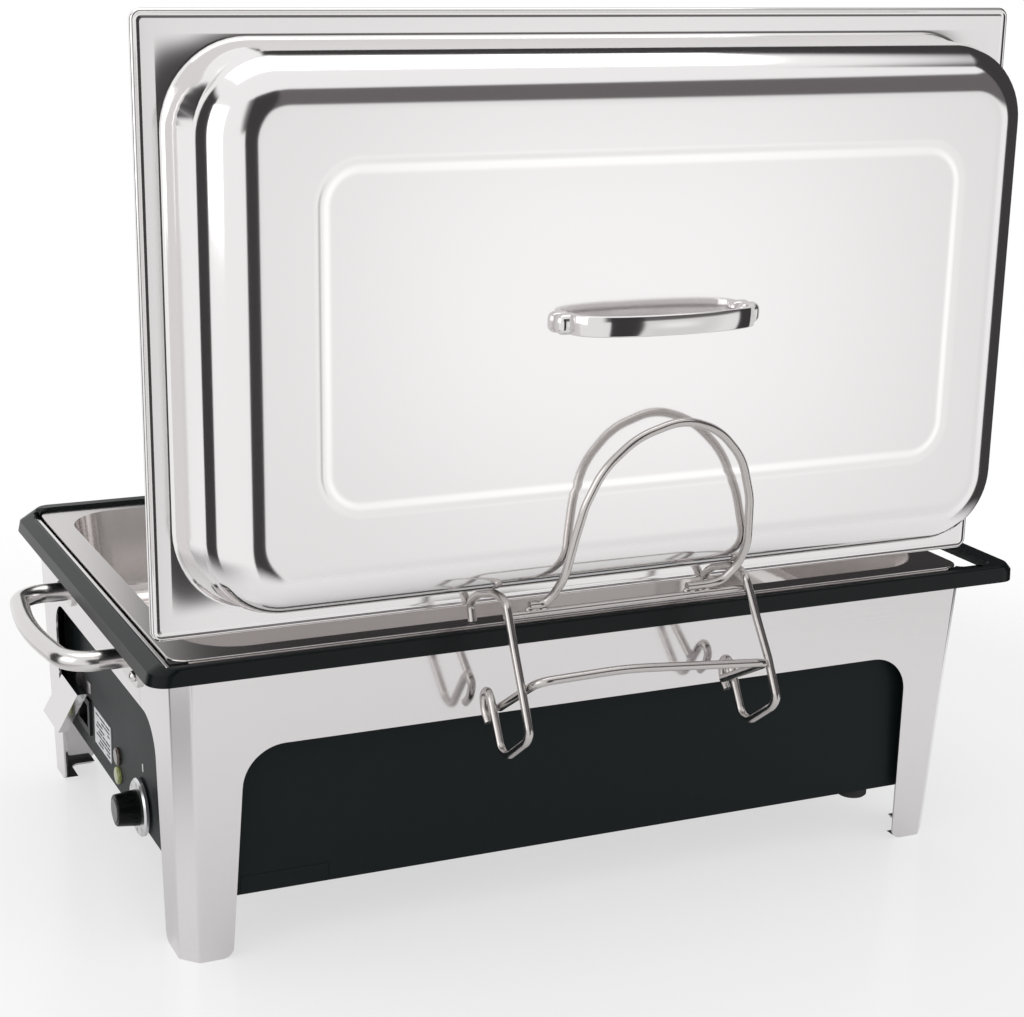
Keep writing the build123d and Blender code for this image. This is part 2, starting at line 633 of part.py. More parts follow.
grip_base = Pos(0, 0, skirt_front) * Circle(GRIP_R)
grip_nose = Pos(0, 0, skirt_front + GRIP_LENGTH) * Circle(GRIP_FRONT_R)
grip = loft([grip_base, grip_nose], ruled=True)
grip = fillet(grip.edges().group_by(Axis.Z)[-1], 1.0)
for flute in range(GRIP_FLUTES):
    angle = flute * 360 / GRIP_FLUTES
    groove = Rot(0, 0, angle) * Pos(GRIP_R + 0.3, 0, skirt_front + 2 + GRIP_LENGTH / 2)
    grip -= groove * Cylinder(FLUTE_R, GRIP_LENGTH)
insert_seat = Pos(0, 0, skirt_front + GRIP_LENGTH) * Cylinder(INSERT_R, INSERT_THICK)
grip -= insert_seat
grip -= Pos(0, 0, skirt_front + SHAFT_IN_GRIP / 2) * Cylinder(SHAFT_R, SHAFT_IN_GRIP + 0.02)
save("knob_grip", knob_axis * grip)

insert = Pos(0, 0, skirt_front + GRIP_LENGTH - INSERT_THICK / 2) * Cylinder(
    INSERT_R - INSERT_PLAY, INSERT_THICK, align=RISING
)
insert = fillet(insert.edges().group_by(Axis.Z)[-1], 0.4)
save("knob_insert", knob_axis * insert)

shaft_length = skirt_front + SHAFT_IN_GRIP + BOX_WALL + SHAFT_IN_BODY
shaft = Pos(0, 0, skirt_front + SHAFT_IN_GRIP - shaft_length / 2) * Cylinder(SHAFT_R, shaft_length)
save("knob_shaft", knob_axis * shaft)

for name, lamp_z in (("pilot_lamp_upper", LAMP_Z[0]), ("pilot_lamp_lower", LAMP_Z[1])):
    spot = Pos(-BOX_HALF_X, LAMP_Y, lamp_z) * Rot(0, -90, 0)
    lens = Cylinder(LAMP_R, LAMP_LENS, align=RISING)
    lens = fillet(lens.edges().group_by(Axis.Z)[-1], LAMP_LENS * 2 / 3)
    stem = Pos(0, 0, -LAMP_STEM) * Cylinder(LAMP_STEM_R, LAMP_STEM, align=RISING)
    save(name, spot * (lens + stem))
lamp_middle = LAMP_STEM + LAMP_BODY / 2 - BOX_HALF_X
lamp_bodies = [
    Pos(lamp_middle, LAMP_Y, lamp_z) * Rot(0, 90, 0) * Cylinder(LAMP_STEM_R, LAMP_BODY)
    for lamp_z in LAMP_Z
]
save("lamp_bodies", Compound(children=lamp_bodies))

plate = box_between(
    (-BOX_HALF_X - PLATE_THICK, PLATE_Y[0], PLATE_Z[0]), (-BOX_HALF_X, PLATE_Y[1], PLATE_Z[1])
)
save("end_plate", plate)

# power inlet: a flanged socket body with a recess and three flat pins
inlet_face_x = -BOX_HALF_X - INLET_FACE
half_w, half_h = INLET_HALF
rim_w = half_w + INLET_RIM[0]
rim_h = half_h + INLET_RIM[1]
hollow_w = half_w - INLET_WALL
hollow_h = half_h - INLET_WALL
inlet = box_between(
    (inlet_face_x, INLET_Y - rim_w, INLET_Z - rim_h), (-BOX_HALF_X, INLET_Y + rim_w, INLET_Z + rim_h)
)
inlet += box_between(
    (-BOX_HALF_X, INLET_Y - half_w, INLET_Z - half_h),
    (INLET_DEPTH - BOX_HALF_X, INLET_Y + half_w, INLET_Z + half_h),
)
inlet -= box_between(
    (inlet_face_x - 1, INLET_Y - hollow_w, INLET_Z - hollow_h),
    (INLET_RECESS - BOX_HALF_X, INLET_Y + hollow_w, INLET_Z + hollow_h),
)
for pin_y, pin_z in ((-7.0, -2.0), (0.0, 2.5), (7.0, -2.0)):
    inlet += box_between(
        (-BOX_HALF_X + 3, INLET_Y + pin_y - 1, INLET_Z + pin_z - 2),
        (INLET_RECESS - BOX_HALF_X, INLET_Y + pin_y + 1, INLET_Z + pin_z + 2),
    )
save("power_inlet", inlet)

# splash hood: a bent sheet that slopes out over the inlet, with one side lip
hood_points = [
    (-BOX_HALF_X, HOOD_TOP_Z + HOOD_FLANGE),
    (-BOX_HALF_X - HOOD_SHEET, HOOD_TOP_Z + HOOD_FLANGE),
    (-BOX_HALF_X - HOOD_SHEET, HOOD_TOP_Z + HOOD_SHEET),
    (HOOD_TOP_X, HOOD_TOP_Z + HOOD_SHEET),
    (HOOD_LOW_X, HOOD_LOW_Z),
    (HOOD_LOW_X + HOOD_SHEET, HOOD_LOW_Z),
    (HOOD_TOP_X + HOOD_SHEET * 0.6, HOOD_TOP_Z),
    (-BOX_HALF_X, HOOD_TOP_Z),
]
hood_face = make_face(Polyline(*hood_points, close=True))
hood = extrude(Plane.XZ * hood_face, amount=-(HOOD_Y[1] - HOOD_Y[0]))
hood = Pos(0, HOOD_Y[0], 0) * hood
lip_points = [
    (HOOD_TOP_X + HOOD_SHEET * 0.6, HOOD_TOP_Z),
    (HOOD_LOW_X + HOOD_SHEET, HOOD_LOW_Z),
    (HOOD_LOW_X + HOOD_SHEET + HOOD_LIP, HOOD_LOW_Z),
    (HOOD_TOP_X + HOOD_SHEET + HOOD_LIP, HOOD_TOP_Z),
]
lip_face = make_face(Polyline(*lip_points, close=True))
lip = Pos(0, HOOD_Y[0], 0) * extrude(Plane.XZ * lip_face, amount=-HOOD_SHEET)
save("inlet_hood", hood + lip)

# ================================================================ end handle
wall_at_handle = FLOOR_HALF_X + (TOP_HALF_X - FLOOR_HALF_X) * HANDLE_Z / STAND_TOP
handle_points = [
    (-wall_at_handle, -HANDLE_Y, HANDLE_Z),
    (HANDLE_SHOULDER_X, -HANDLE_Y, HANDLE_Z),
    (HANDLE_CREST_X, 0, HANDLE_Z),
    (HANDLE_SHOULDER_X, HANDLE_Y, HANDLE_Z),
    (-wall_at_handle, HANDLE_Y, HANDLE_Z),
]
handle = wire(handle_points, (HANDLE_BEND, HANDLE_SWEEP, HANDLE_BEND), HANDLE_R)
tab_layer = stand_block(-TAB_THICK, 0, STAND_TOP) - stand_block(0, -1, STAND_TOP + 1)
tab_length = RIVET_Y - HANDLE_Y + 2 * TAB_PAST
tab_face = RectangleRounded(tab_length, TAB_HEIGHT, TAB_HEIGHT / 2 - 0.5)
handle -= stand_block(0, 0, STAND_TOP)
for side in (-1, 1):
    tab_middle = Pos(-REACH, side * (HANDLE_Y + RIVET_Y) / 2, RIVET_Z)
    tab_zone = tab_middle * (Plane.YZ * extrude(tab_face, amount=REACH))
    handle = handle + (tab_layer & tab_zone)
save("end_handle", handle)

rivets = []
wall_slope = (TOP_HALF_X - FLOOR_HALF_X) / STAND_TOP
rivet_x = FLOOR_HALF_X + wall_slope * RIVET_Z + TAB_THICK + WELD
for side in (-1, 1):
    seat = Plane(origin=(-rivet_x, side * RIVET_Y, RIVET_Z), z_dir=(-1, 0, -wall_slope))
    rivets.append(seat * (Sphere(RIVET_R) & box_between((-10, -10, 0), (10, 10, 10))))
save("handle_rivets", Compound(children=rivets))


# ================================================================ wire holder
def beside(out, up):
    """Y and Z of a point out from the near edge of the food pan's flange and above its top."""
    return (-FOOD_FLANGE_Y - out, FOOD_FLANGE_TOP + up)


def side_path(side):
    """Points of one side wire, from the tip on the pan's flange to the end of its hook."""
    profile = [
        (-4.0, SEAT + TIP_RISE),
        (-7.2, 11.2),
        (-2.0, 16.5),
        (6.0, 21.4),
        (25.5, 27.6),
        (36.2, 27.8),
        (41.5, 25.6),
        (52.5, 2.3),
        (63.0, -18.0),
        (74.5, -40.0),
        (71.5, -46.0),
        (48.9, -63.5),
        (39.1, -63.5),
        (29.9, -48.3),
        (23.7, -38.0),
        (18.5, -33.4),
        (12.9, -38.2),
        (15.0, -47.5),
        (20.7, -53.5),
    ]
    points = []
    for out, rise in profile:
        y, z = beside(out, rise)
        up = min(1.0, max(0.0, (z - LEAN_LOW) / (LEAN_HIGH - LEAN_LOW)))
        points.append((side * (SIDE_X + SIDE_LEAN[side] * up), y, z))
    return points


def largest_bends(points, limit):
    """Bend radii that fit the runs on both sides of each corner."""
    radii = []
    for before, corner, after in zip(points, points[1:], points[2:]):
        a = Vector(*before) - Vector(*corner)
        b = Vector(*after) - Vector(*corner)
        turn = math.radians(180 - a.get_angle(b))
        room = 0.45 * min(a.length, b.length)
        radii.append(min(limit, room / math.tan(turn / 2)))
    return radii


for name, side in (("holder_side_wire_left", -1), ("holder_side_wire_right", 1)):
    points = side_path(side)
    save(name, wire(points, largest_bends(points, SIDE_BEND), WIRE_R))

rod_y, rod_z = beside(ROD_OUT, ROD_UP)
rod_left = -SIDE_X - SIDE_LEAN[-1]
rod_right = SIDE_X + SIDE_LEAN[1]
rod_middle = Pos((rod_left + rod_right) / 2, rod_y, rod_z) * Rot(0, 90, 0)
save("holder_rod", rod_middle * Cylinder(ROD_R, rod_right - rod_left))

foot_rise = ROD_R + WELD + WIRE_R
loop_profile = [
    (-66.0, 0.0, foot_rise),
    (-57.0, 0.0, foot_rise),
    (-53.0, 3.3, 10.5),
    (-49.5, 9.8, 22.5),
    (-45.5, 13.1, 46.0),
    (-41.5, 15.6, 65.0),
    (-33.0, 18.6, 85.5),
    (-14.0, 21.1, 103.0),
    (14.0, 22.3, 111.5),
    (38.0, 21.1, 103.5),
    (56.0, 18.6, 85.0),
    (65.0, 15.3, 60.0),
    (68.5, 10.7, 30.0),
    (66.0, 4.8, 16.0),
    (59.0, 0.8, 6.6),
    (50.0, 0.0, foot_rise),
    (36.0, 0.0, foot_rise),
]
loop_points = [(x, rod_y - out, rod_z + up) for x, out, up in loop_profile]
save("holder_loop", wire(loop_points, largest_bends(loop_points, LOOP_BEND), WIRE_R))

bail_profile = [
    (BAIL_LEFT_X, 24.5, -43.0),
    (BAIL_LEFT_X, 72.0, -11.0),
    (-20.0, 73.0, -9.4),
    (BAIL_RIGHT_X, 72.0, -18.0),
    (BAIL_RIGHT_X, 24.5, -44.5),
]
bail_points = [(x, *beside(out, up)) for x, out, up in bail_profile]
save("holder_bail", wire(bail_points, (BAIL_BEND, BAIL_SWEEP, BAIL_BEND), WIRE_R))

# ================================================================ lid, built flat and stood up
lid_half_u = LID_LENGTH / 2
lid_half_v = LID_WIDTH / 2
base_u = lid_half_u - LID_MARGIN
base_v = lid_half_v - LID_MARGIN


def dome(shrink):
    """Solid dome with a large rounded shoulder; shrink gives the inner skin."""
    base = RectangleRounded(2 * (base_u - shrink), 2 * (base_v - shrink), LID_DOME_R - shrink)
    crown = Pos(0, 0, LID_DEPTH - shrink) * RectangleRounded(
        2 * (base_u - LID_DRAFT - shrink), 2 * (base_v - LID_DRAFT - shrink), LID_DOME_R - 4 - shrink
    )
    body = loft([base, crown], ruled=True)
    edge = body.edges().filter_by(lambda e: e.center().Z > LID_DEPTH - shrink - 0.01)
    return fillet(edge, LID_DOME_EDGE - shrink)


def ring(half_u, half_v, corner, width, low, high):
    """Rectangular ring of one width between two heights."""
    outer_face = RectangleRounded(2 * half_u, 2 * half_v, corner)
    inner_face = RectangleRounded(2 * (half_u - width), 2 * (half_v - width), corner - width)
    outer = extrude(Pos(0, 0, low) * outer_face, amount=high - low)
    return outer - extrude(Pos(0, 0, low - 1) * inner_face, amount=high - low + 2)


def bead_frustum(inset_low, inset_high):
    """Flat frustum with the bead's outline, sunk into the crown as deep as it stands above it."""
    faces = []
    for height, inset in ((-BEAD_RISE, inset_low), (BEAD_RISE, inset_high)):
        outline = RectangleRounded(2 * (BEAD_HALF_U - inset), 2 * (BEAD_HALF_V - inset), BEAD_R - inset)
        faces.append(Pos(BEAD_SHIFT_U, BEAD_SHIFT_V, LID_DEPTH + height) * outline)
    return loft(faces, ruled=True)


lid_plate = extrude(RectangleRounded(LID_LENGTH, LID_WIDTH, LID_R), amount=-LID_SHEET)
lid = lid_plate + dome(0)
lid = lid + ring(lid_half_u, lid_half_v, LID_R, LID_SHEET, -LID_EDGE, 0)
foot_edge = lid.edges().filter_by(
    lambda e: abs(e.center().Z) < 0.01
    and abs(e.center().X) < base_u + 1
    and abs(e.center().Y) < base_v + 1
)
lid = fillet(foot_edge, LID_FOOT_R)
inner_side = BEAD_WIDTH - BEAD_SIDE
bead = bead_frustum(-BEAD_SIDE, BEAD_SIDE) - bead_frustum(BEAD_WIDTH + BEAD_SIDE, inner_side)
bead_crest = bead.edges().filter_by(lambda e: e.center().Z > LID_DEPTH + BEAD_RISE - 0.01)
lid = lid + fillet(bead_crest, BEAD_SOFT)
mouth_u = base_u - LID_SHEET
mouth_v = base_v - LID_SHEET
mouth_face = RectangleRounded(2 * mouth_u, 2 * mouth_v, LID_DOME_R - LID_SHEET)
lid = lid - (dome(LID_SHEET) + extrude(mouth_face, amount=-LID_SHEET - 1))

lean = math.radians(LID_LEAN)
lid_normal = (0, -math.cos(lean), math.sin(lean))
lid_stand = Plane(origin=LID_ORIGIN, x_dir=(1, 0, 0), z_dir=lid_normal) * Pos(0, lid_half_v, 0)
save("lid", lid_stand * lid)

grab_v = GRAB_V - lid_half_v
root_w = LID_DEPTH + GRAB_ROOT
bow_w = LID_DEPTH + GRAB_CREST + GRAB_BLOCK_OUT
grab_path = FilletPolyline(
    (-GRAB_END_U, grab_v, root_w),
    (GRAB_RUN - GRAB_END_U, grab_v, bow_w - GRAB_DIP),
    (0, grab_v, bow_w),
    (GRAB_END_U - GRAB_RUN, grab_v, bow_w - GRAB_DIP),
    (GRAB_END_U, grab_v, root_w),
    radius=GRAB_BENDS,
)
grab_start = Plane(origin=grab_path @ 0, x_dir=(0, 1, 0), z_dir=grab_path % 0)
grab = sweep(grab_start * RectangleRounded(GRAB_WIDTH, GRAB_THICK, GRAB_EDGE), path=grab_path)
blocks = []
for side in (-1, 1):
    block_place = Pos(side * (GRAB_END_U + GRAB_BLOCK_OUT), grab_v, LID_DEPTH)
    block = block_place * Cylinder(GRAB_BLOCK / 2, GRAB_BLOCK_RISE, align=RISING)
    block = fillet(block.edges().group_by(Axis.Z)[-1], 2.0)
    blocks.append(block)
grab = grab - blocks[0] - blocks[1]
grab -= box_between((-REACH, -REACH, -10), (REACH, REACH, LID_DEPTH + WELD))
save("lid_handle", lid_stand * grab)
save("lid_handle_mounts", lid_stand * Compound(children=blocks))

# ================================================================ shared frame
boxes = [shape.bounding_box() for shape in nodes.values()]
middle_x = (min(box.min.X for box in boxes) + max(box.max.X for box in boxes)) / 2
middle_y = (min(box.min.Y for box in boxes) + max(box.max.Y for box in boxes)) / 2
for name, shape in nodes.items():
    export_step(Pos(-middle_x, -middle_y, 0) * shape, f"parts/{name}.step")
print("stand centre at", round(-middle_x, 4), round(-middle_y, 4))
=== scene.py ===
"""Studio scene of an electric food warmer with its lid stood up in a wire holder.

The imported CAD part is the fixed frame. Its nodes keep their shapes and places and get their
finishes here. The lid and its handle are drawn again with finer edges, and print and weld beads
are added. All lengths are in metres.
"""

import logging
import math
from dataclasses import dataclass, replace
from enum import Enum
from typing import Any, Optional, Sequence, Union

import bmesh
import bpy
from mathutils import Matrix, Quaternion, Vector


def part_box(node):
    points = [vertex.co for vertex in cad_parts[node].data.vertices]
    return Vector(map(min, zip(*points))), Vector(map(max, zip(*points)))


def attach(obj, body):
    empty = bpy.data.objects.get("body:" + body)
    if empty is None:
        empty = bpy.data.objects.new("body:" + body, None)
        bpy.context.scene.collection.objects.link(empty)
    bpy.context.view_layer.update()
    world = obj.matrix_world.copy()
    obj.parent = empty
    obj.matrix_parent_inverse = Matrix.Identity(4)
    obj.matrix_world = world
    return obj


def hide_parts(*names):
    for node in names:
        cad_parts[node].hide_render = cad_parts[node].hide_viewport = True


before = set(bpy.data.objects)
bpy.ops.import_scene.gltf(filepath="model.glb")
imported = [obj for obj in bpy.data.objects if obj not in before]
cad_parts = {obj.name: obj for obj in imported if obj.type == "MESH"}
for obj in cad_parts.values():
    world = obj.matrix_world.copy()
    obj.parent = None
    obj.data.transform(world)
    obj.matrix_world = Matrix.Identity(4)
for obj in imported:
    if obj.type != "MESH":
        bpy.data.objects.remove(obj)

LOG = logging.getLogger("food_warmer")
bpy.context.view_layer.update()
Colour = tuple[float, float, float]
Span = tuple[float, float]
WHITE: Colour = (1.0, 1.0, 1.0)
MERGE_DISTANCE = 1e-6
BEAD_RIPPLE = 0.05
BEAD_WAVES = 9.0
BEAD_LOBES = 3.0


class Grain(Enum):
    """Direction in which a sheet or a bar was brushed."""

    NONE = (1.0, 1.0, 1.0)
    ALONG_X = (0.02, 1.0, 1.0)
    ALONG_Y = (1.0, 0.02, 1.0)
    ALONG_Z = (1.0, 1.0, 0.02)


class Coords(Enum):
    """Outputs of the Texture Coordinate node that patterns read."""

    OBJECT = "Object"
    DIRECTION = "Generated"


# ------------------------------------------------------------------ shader maths
class Value:
    """A number socket. Expressions on values add their Math nodes."""

    def __init__(self, tree: "ShaderTree", socket: bpy.types.NodeSocket) -> None:
        """Keeps the tree and the socket that carries the number."""
        self.tree = tree
        self.socket = socket

    def math(self, operation: str, *others: Union["Value", float]) -> "Value":
        """Adds one Math node.

        Args:
            operation: the node's operation.
            others: the second and third operands.

        Returns:
            The node's result.
        """
        return self.tree.math(operation, self, *others)

    def __add__(self, other: Union["Value", float]) -> "Value":
        """Sum."""
        return self.math("ADD", other)

    def __radd__(self, other: float) -> "Value":
        """Sum with a plain number on the left."""
        return self.math("ADD", other)

    def __sub__(self, other: Union["Value", float]) -> "Value":
        """Difference."""
        return self.math("SUBTRACT", other)

    def __rsub__(self, other: float) -> "Value":
        """Difference from a plain number."""
        return self.tree.math("SUBTRACT", other, self)

    def __mul__(self, other: Union["Value", float]) -> "Value":
        """Product."""
        return self.math("MULTIPLY", other)

    def __rmul__(self, other: float) -> "Value":
        """Product with a plain number on the left."""
        return self.math("MULTIPLY", other)

    def rises(self, low: float, high: float) -> "Value":
        """Smooth step from 0 at low to 1 at high."""
        node = self.tree.node(
            "ShaderNodeMapRange",
            {"interpolation_type": "SMOOTHSTEP", "clamp": True},
            {"Value": self, "From Min": low, "From Max": high},
        )
        return Value(self.tree, node.outputs["Result"])

    def within(self, low: float, high: float, soft: float) -> "Value":
        """1 between two limits, with soft shoulders.

        Args:
            low: lower limit.
            high: upper limit.
            soft: half width of each shoulder.

        Returns:
            The mask.
        """
        return self.rises(low - soft, low + soft) * (1.0 - self.rises(high - soft, high + soft))


class ShaderTree:
    """A node tree that is filled through one method."""

    def __init__(self, owner: Union[bpy.types.Material, bpy.types.World]) -> None:
        """Empties the owner's tree."""
        owner.use_nodes = True
        self.tree = owner.node_tree
        self.tree.nodes.clear()

    def node(
        self,
        kind: str,
        settings: Optional[dict[str, Any]] = None,
        inputs: Optional[dict[Union[str, int], Any]] = None,
    ) -> bpy.types.Node:
        """Adds a node.

        Args:
            kind: the node's type name.
            settings: attributes that are set first.
            inputs: values or links of its sockets, by name or index.

        Returns:
            The new node.
        """
        node = self.tree.nodes.new(kind)
        for key, value in (settings or {}).items():
            setattr(node, key, value)
        for key, value in (inputs or {}).items():
            socket = node.inputs[key]
            if isinstance(value, Value):
                value = value.socket
            if isinstance(value, bpy.types.NodeSocket):
                self.tree.links.new(value, socket)
            elif isinstance(value, tuple) and len(value) == 3 and socket.type == "RGBA":
                socket.default_value = (*value, 1.0)
            else:
                socket.default_value = value
        return node

    def math(self, operation: str, *operands: Union[Value, float]) -> Value:
        """Adds a Math node.

        Args:
            operation: its operation.
            operands: its inputs in order.

        Returns:
            The result.
        """
        node = self.node("ShaderNodeMath", {"operation": operation}, dict(enumerate(operands)))
        return Value(self, node.outputs[0])

    def coordinates(
        self, coords: Coords, scale: Sequence[float] = (1.0, 1.0, 1.0)
    ) -> bpy.types.NodeSocket:
        """Coordinates of a piece or of the sky.

        Args:
            coords: which coordinates.
            scale: factors on the three axes.

        Returns:
            The vector socket.
        """
        source = self.node("ShaderNodeTexCoord").outputs[coords.value]
        if tuple(scale) == (1.0, 1.0, 1.0):
            return source
        inputs = {"Vector": source, "Scale": tuple(scale)}
        return self.node("ShaderNodeMapping", {}, inputs).outputs["Vector"]

    def noise(
        self,
        vector: bpy.types.NodeSocket,
        scale: float,
        detail: float = 2.0,
        roughness: float = 0.5,
    ) -> Value:
        """Cloudy pattern between 0 and 1.

        Args:
            vector: coordinates.
            scale: number of clouds in a metre.
            detail: octaves.
            roughness: strength of the finer octaves.

        Returns:
            The pattern.
        """
        inputs = {"Vector": vector, "Scale": scale, "Detail": detail, "Roughness": roughness}
        return Value(self, self.node("ShaderNodeTexNoise", {}, inputs).outputs["Fac"])

    def blend(
        self,
        factor: Value,
        low: Union[Colour, bpy.types.NodeSocket],
        high: Union[Colour, bpy.types.NodeSocket],
    ) -> bpy.types.NodeSocket:
        """Blend of two colours.

        Args:
            factor: 0 gives the first, 1 the second.
            low: first colour.
            high: second colour.

        Returns:
            The colour socket.
        """
        node = self.node("ShaderNodeMix", {"data_type": "RGBA"}, {0: factor, 6: low, 7: high})
        return node.outputs[2]

    def bump(
        self,
        height: Value,
        strength: float,
        distance: float,
        under: Optional[bpy.types.NodeSocket] = None,
    ) -> bpy.types.NodeSocket:
        """Relief of the surface.

        Args:
            height: pattern of the relief.
            strength: share of the full effect.
            distance: depth of the relief in metres.
            under: a coarser relief below this one.

        Returns:
            The normal socket.
        """
        inputs: dict[Union[str, int], Any] = {
            "Height": height,
            "Strength": strength,
            "Distance": distance,
        }
        if under is not None:
            inputs["Normal"] = under
        return self.node("ShaderNodeBump", {}, inputs).outputs["Normal"]

    def surface(self, shader: bpy.types.Node) -> None:
        """Links a shader to a material's output."""
        self.node("ShaderNodeOutputMaterial", {}, {"Surface": shader.outputs[0]})


# ------------------------------------------------------------------ finishes
@dataclass(frozen=True)
class RidgeBuff:
    """Painted highlight: brighter colour along a pressed ridge whose outline is a rounded rectangle in X and
    Z.
    """

    middle: tuple[float, float]
    half: tuple[float, float]
    corner: float
    width: float
    soft: float
    colour: Colour

    def mask(self, tree: ShaderTree) -> Value:
        """1 on the ridge's crest and 0 beside it.

        Args:
            tree: the material's tree.

        Returns:
            The mask.
        """
        split = tree.node("ShaderNodeSeparateXYZ", {}, {0: tree.coordinates(Coords.OBJECT)})
        sides = []
        for index, middle, half in zip((0, 2), self.middle, self.half):
            across = tree.math("ABSOLUTE", Value(tree, split.outputs[index]) - middle)
            sides.append(across - (half - self.corner))
        over = [tree.math("MAXIMUM", side, 0.0) for side in sides]
        reach = tree.math("SQRT", over[0] * over[0] + over[1] * over[1])
        inside = tree.math("MINIMUM", tree.math("MAXIMUM", *sides), 0.0)
        depth = self.corner - reach - inside
        return depth.within(0.0, self.width, self.soft)


@dataclass(frozen=True)
class SteelFinish:
    """Stainless steel, from mirror polish to brushed."""

    name: str
    colour: Colour = (0.76, 0.745, 0.74)
    dull: Colour = (0.70, 0.69, 0.69)
    roughness: float = 0.10
    smudge: float = 0.05
    grain: Grain = Grain.NONE
    grain_scale: float = 900.0
    grain_depth: float = 0.0
    wave_scale: float = 6.0
    wave_depth: float = 0.0
    # Painted highlight along a pressed ridge, if any.
    ridge: Optional[RidgeBuff] = None
    cloud_scale: float = 7.0
    fine_scale: float = 60.0
    fine_share: float = 0.4
    grain_gloss: float = 0.10
    grain_relief: float = 0.35

    def build(self) -> bpy.types.Material:
        """Makes the material: cloudy tint and gloss, brush marks, the waves of pressed sheet and a painted
        highlight along a ridge.
        """
        material = bpy.data.materials.new(self.name)
        tree = ShaderTree(material)
        plain = tree.coordinates(Coords.OBJECT)
        clouds = tree.noise(plain, self.cloud_scale, 3.0)
        fine = tree.noise(plain, self.fine_scale, 4.0, 0.6)
        tint = tree.blend(clouds, self.dull, self.colour)
        gloss = self.roughness + self.smudge * (clouds - 0.5)
        gloss = gloss + self.smudge * self.fine_share * (fine - 0.5)
        # Painted highlight: the ridge's crest gets a brighter tint.
        if self.ridge is not None:
            tint = tree.blend(self.ridge.mask(tree), tint, self.ridge.colour)
        normal = None
        if self.wave_depth > 0:
            normal = tree.bump(tree.noise(plain, self.wave_scale, 1.0), 1.0, self.wave_depth)
        if self.grain_depth > 0:
            stretched = tree.coordinates(Coords.OBJECT, self.grain.value)
            lines = tree.noise(stretched, self.grain_scale, 3.0, 0.7)
            gloss = gloss + self.grain_gloss * (lines - 0.5)
            normal = tree.bump(lines, self.grain_relief, self.grain_depth, normal)
        inputs: dict[Union[str, int], Any] = {
            "Base Color": tint,
            "Metallic": 1.0,
            "Roughness": gloss,
        }
        if normal is not None:
            inputs["Normal"] = normal
        tree.surface(tree.node("ShaderNodeBsdfPrincipled", {}, inputs))
        return material


@dataclass(frozen=True)
class MouldedFinish:
    """Moulded plastic, rubber or powder paint, with a fine even texture."""

    name: str
    colour: Colour = (0.010, 0.014, 0.014)
    worn: Colour = (0.018, 0.023, 0.023)
    roughness: float = 0.38
    texture_scale: float = 1400.0
    texture_depth: float = 0.00003
    coat: float = 0.0
    specular: float = 0.5
    cloud_scale: float = 9.0
    gloss_spread: float = 0.10
    relief: float = 0.25
    coat_roughness: float = 0.12

    def build(self) -> bpy.types.Material:
        """Makes the material: slightly uneven colour and gloss over a fine pebble relief."""
        material = bpy.data.materials.new(self.name)
        tree = ShaderTree(material)
        plain = tree.coordinates(Coords.OBJECT)
        clouds = tree.noise(plain, self.cloud_scale, 3.0)
        pebbles = tree.noise(plain, self.texture_scale, 2.0)
        shader = tree.node(
            "ShaderNodeBsdfPrincipled",
            {},
            {
                "Base Color": tree.blend(clouds, self.colour, self.worn),
                "Roughness": self.roughness + self.gloss_spread * (clouds - 0.5),
                "Normal": tree.bump(pebbles, self.relief, self.texture_depth),
                "Coat Weight": self.coat,
                "Coat Roughness": self.coat_roughness,
                "Specular IOR Level": self.specular,
            },
        )
        tree.surface(shader)
        return material


@dataclass(frozen=True)
class LensFinish:
    """Tinted lens of a pilot lamp, with small dark cells."""

    name: str
    colour: Colour
    deep: Colour
    cell_scale: float = 500.0
    cell_edges: Span = (0.3, 0.7)
    roughness: float = 0.12
    gloss_spread: float = 0.08
    coat: float = 0.6
    coat_roughness: float = 0.05
    relief: float = 0.3
    relief_depth: float = 0.0001

    def build(self) -> bpy.types.Material:
        """Makes the material: a glossy tinted cap with darker cells."""
        material = bpy.data.materials.new(self.name)
        tree = ShaderTree(material)
        plain = tree.coordinates(Coords.OBJECT)
        cells = tree.noise(plain, self.cell_scale, 1.0)
        shader = tree.node(
            "ShaderNodeBsdfPrincipled",
            {},
            {
                "Base Color": tree.blend(cells.rises(*self.cell_edges), self.deep, self.colour),
                "Roughness": self.roughness + self.gloss_spread * cells,
                "Coat Weight": self.coat,
                "Coat Roughness": self.coat_roughness,
                "Normal": tree.bump(cells, self.relief, self.relief_depth),
            },
        )
        tree.surface(shader)
        return material


@dataclass(frozen=True)
class InkFinish:
    """Printed ink."""

    name: str
    colour: Colour
    speckle_scale: float = 2500.0
    roughness: float = 0.45
    gloss_spread: float = 0.1
    fade: float = 0.9
    fade_lift: float = 0.01

    def build(self) -> bpy.types.Material:
        """Makes the material: a matt ink whose cover varies a little."""
        material = bpy.data.materials.new(self.name)
        tree = ShaderTree(material)
        speckle = tree.noise(tree.coordinates(Coords.OBJECT), self.speckle_scale, 2.0)
        red, green, blue = (self.fade * part + self.fade_lift for part in self.colour)
        inputs = {
            "Base Color": tree.blend(speckle, (red, green, blue), self.colour),
            "Roughness": self.roughness + self.gloss_spread * speckle,
        }
        tree.surface(tree.node("ShaderNodeBsdfPrincipled", {}, inputs))
        return material


Finish = Union[SteelFinish, MouldedFinish, LensFinish, InkFinish]

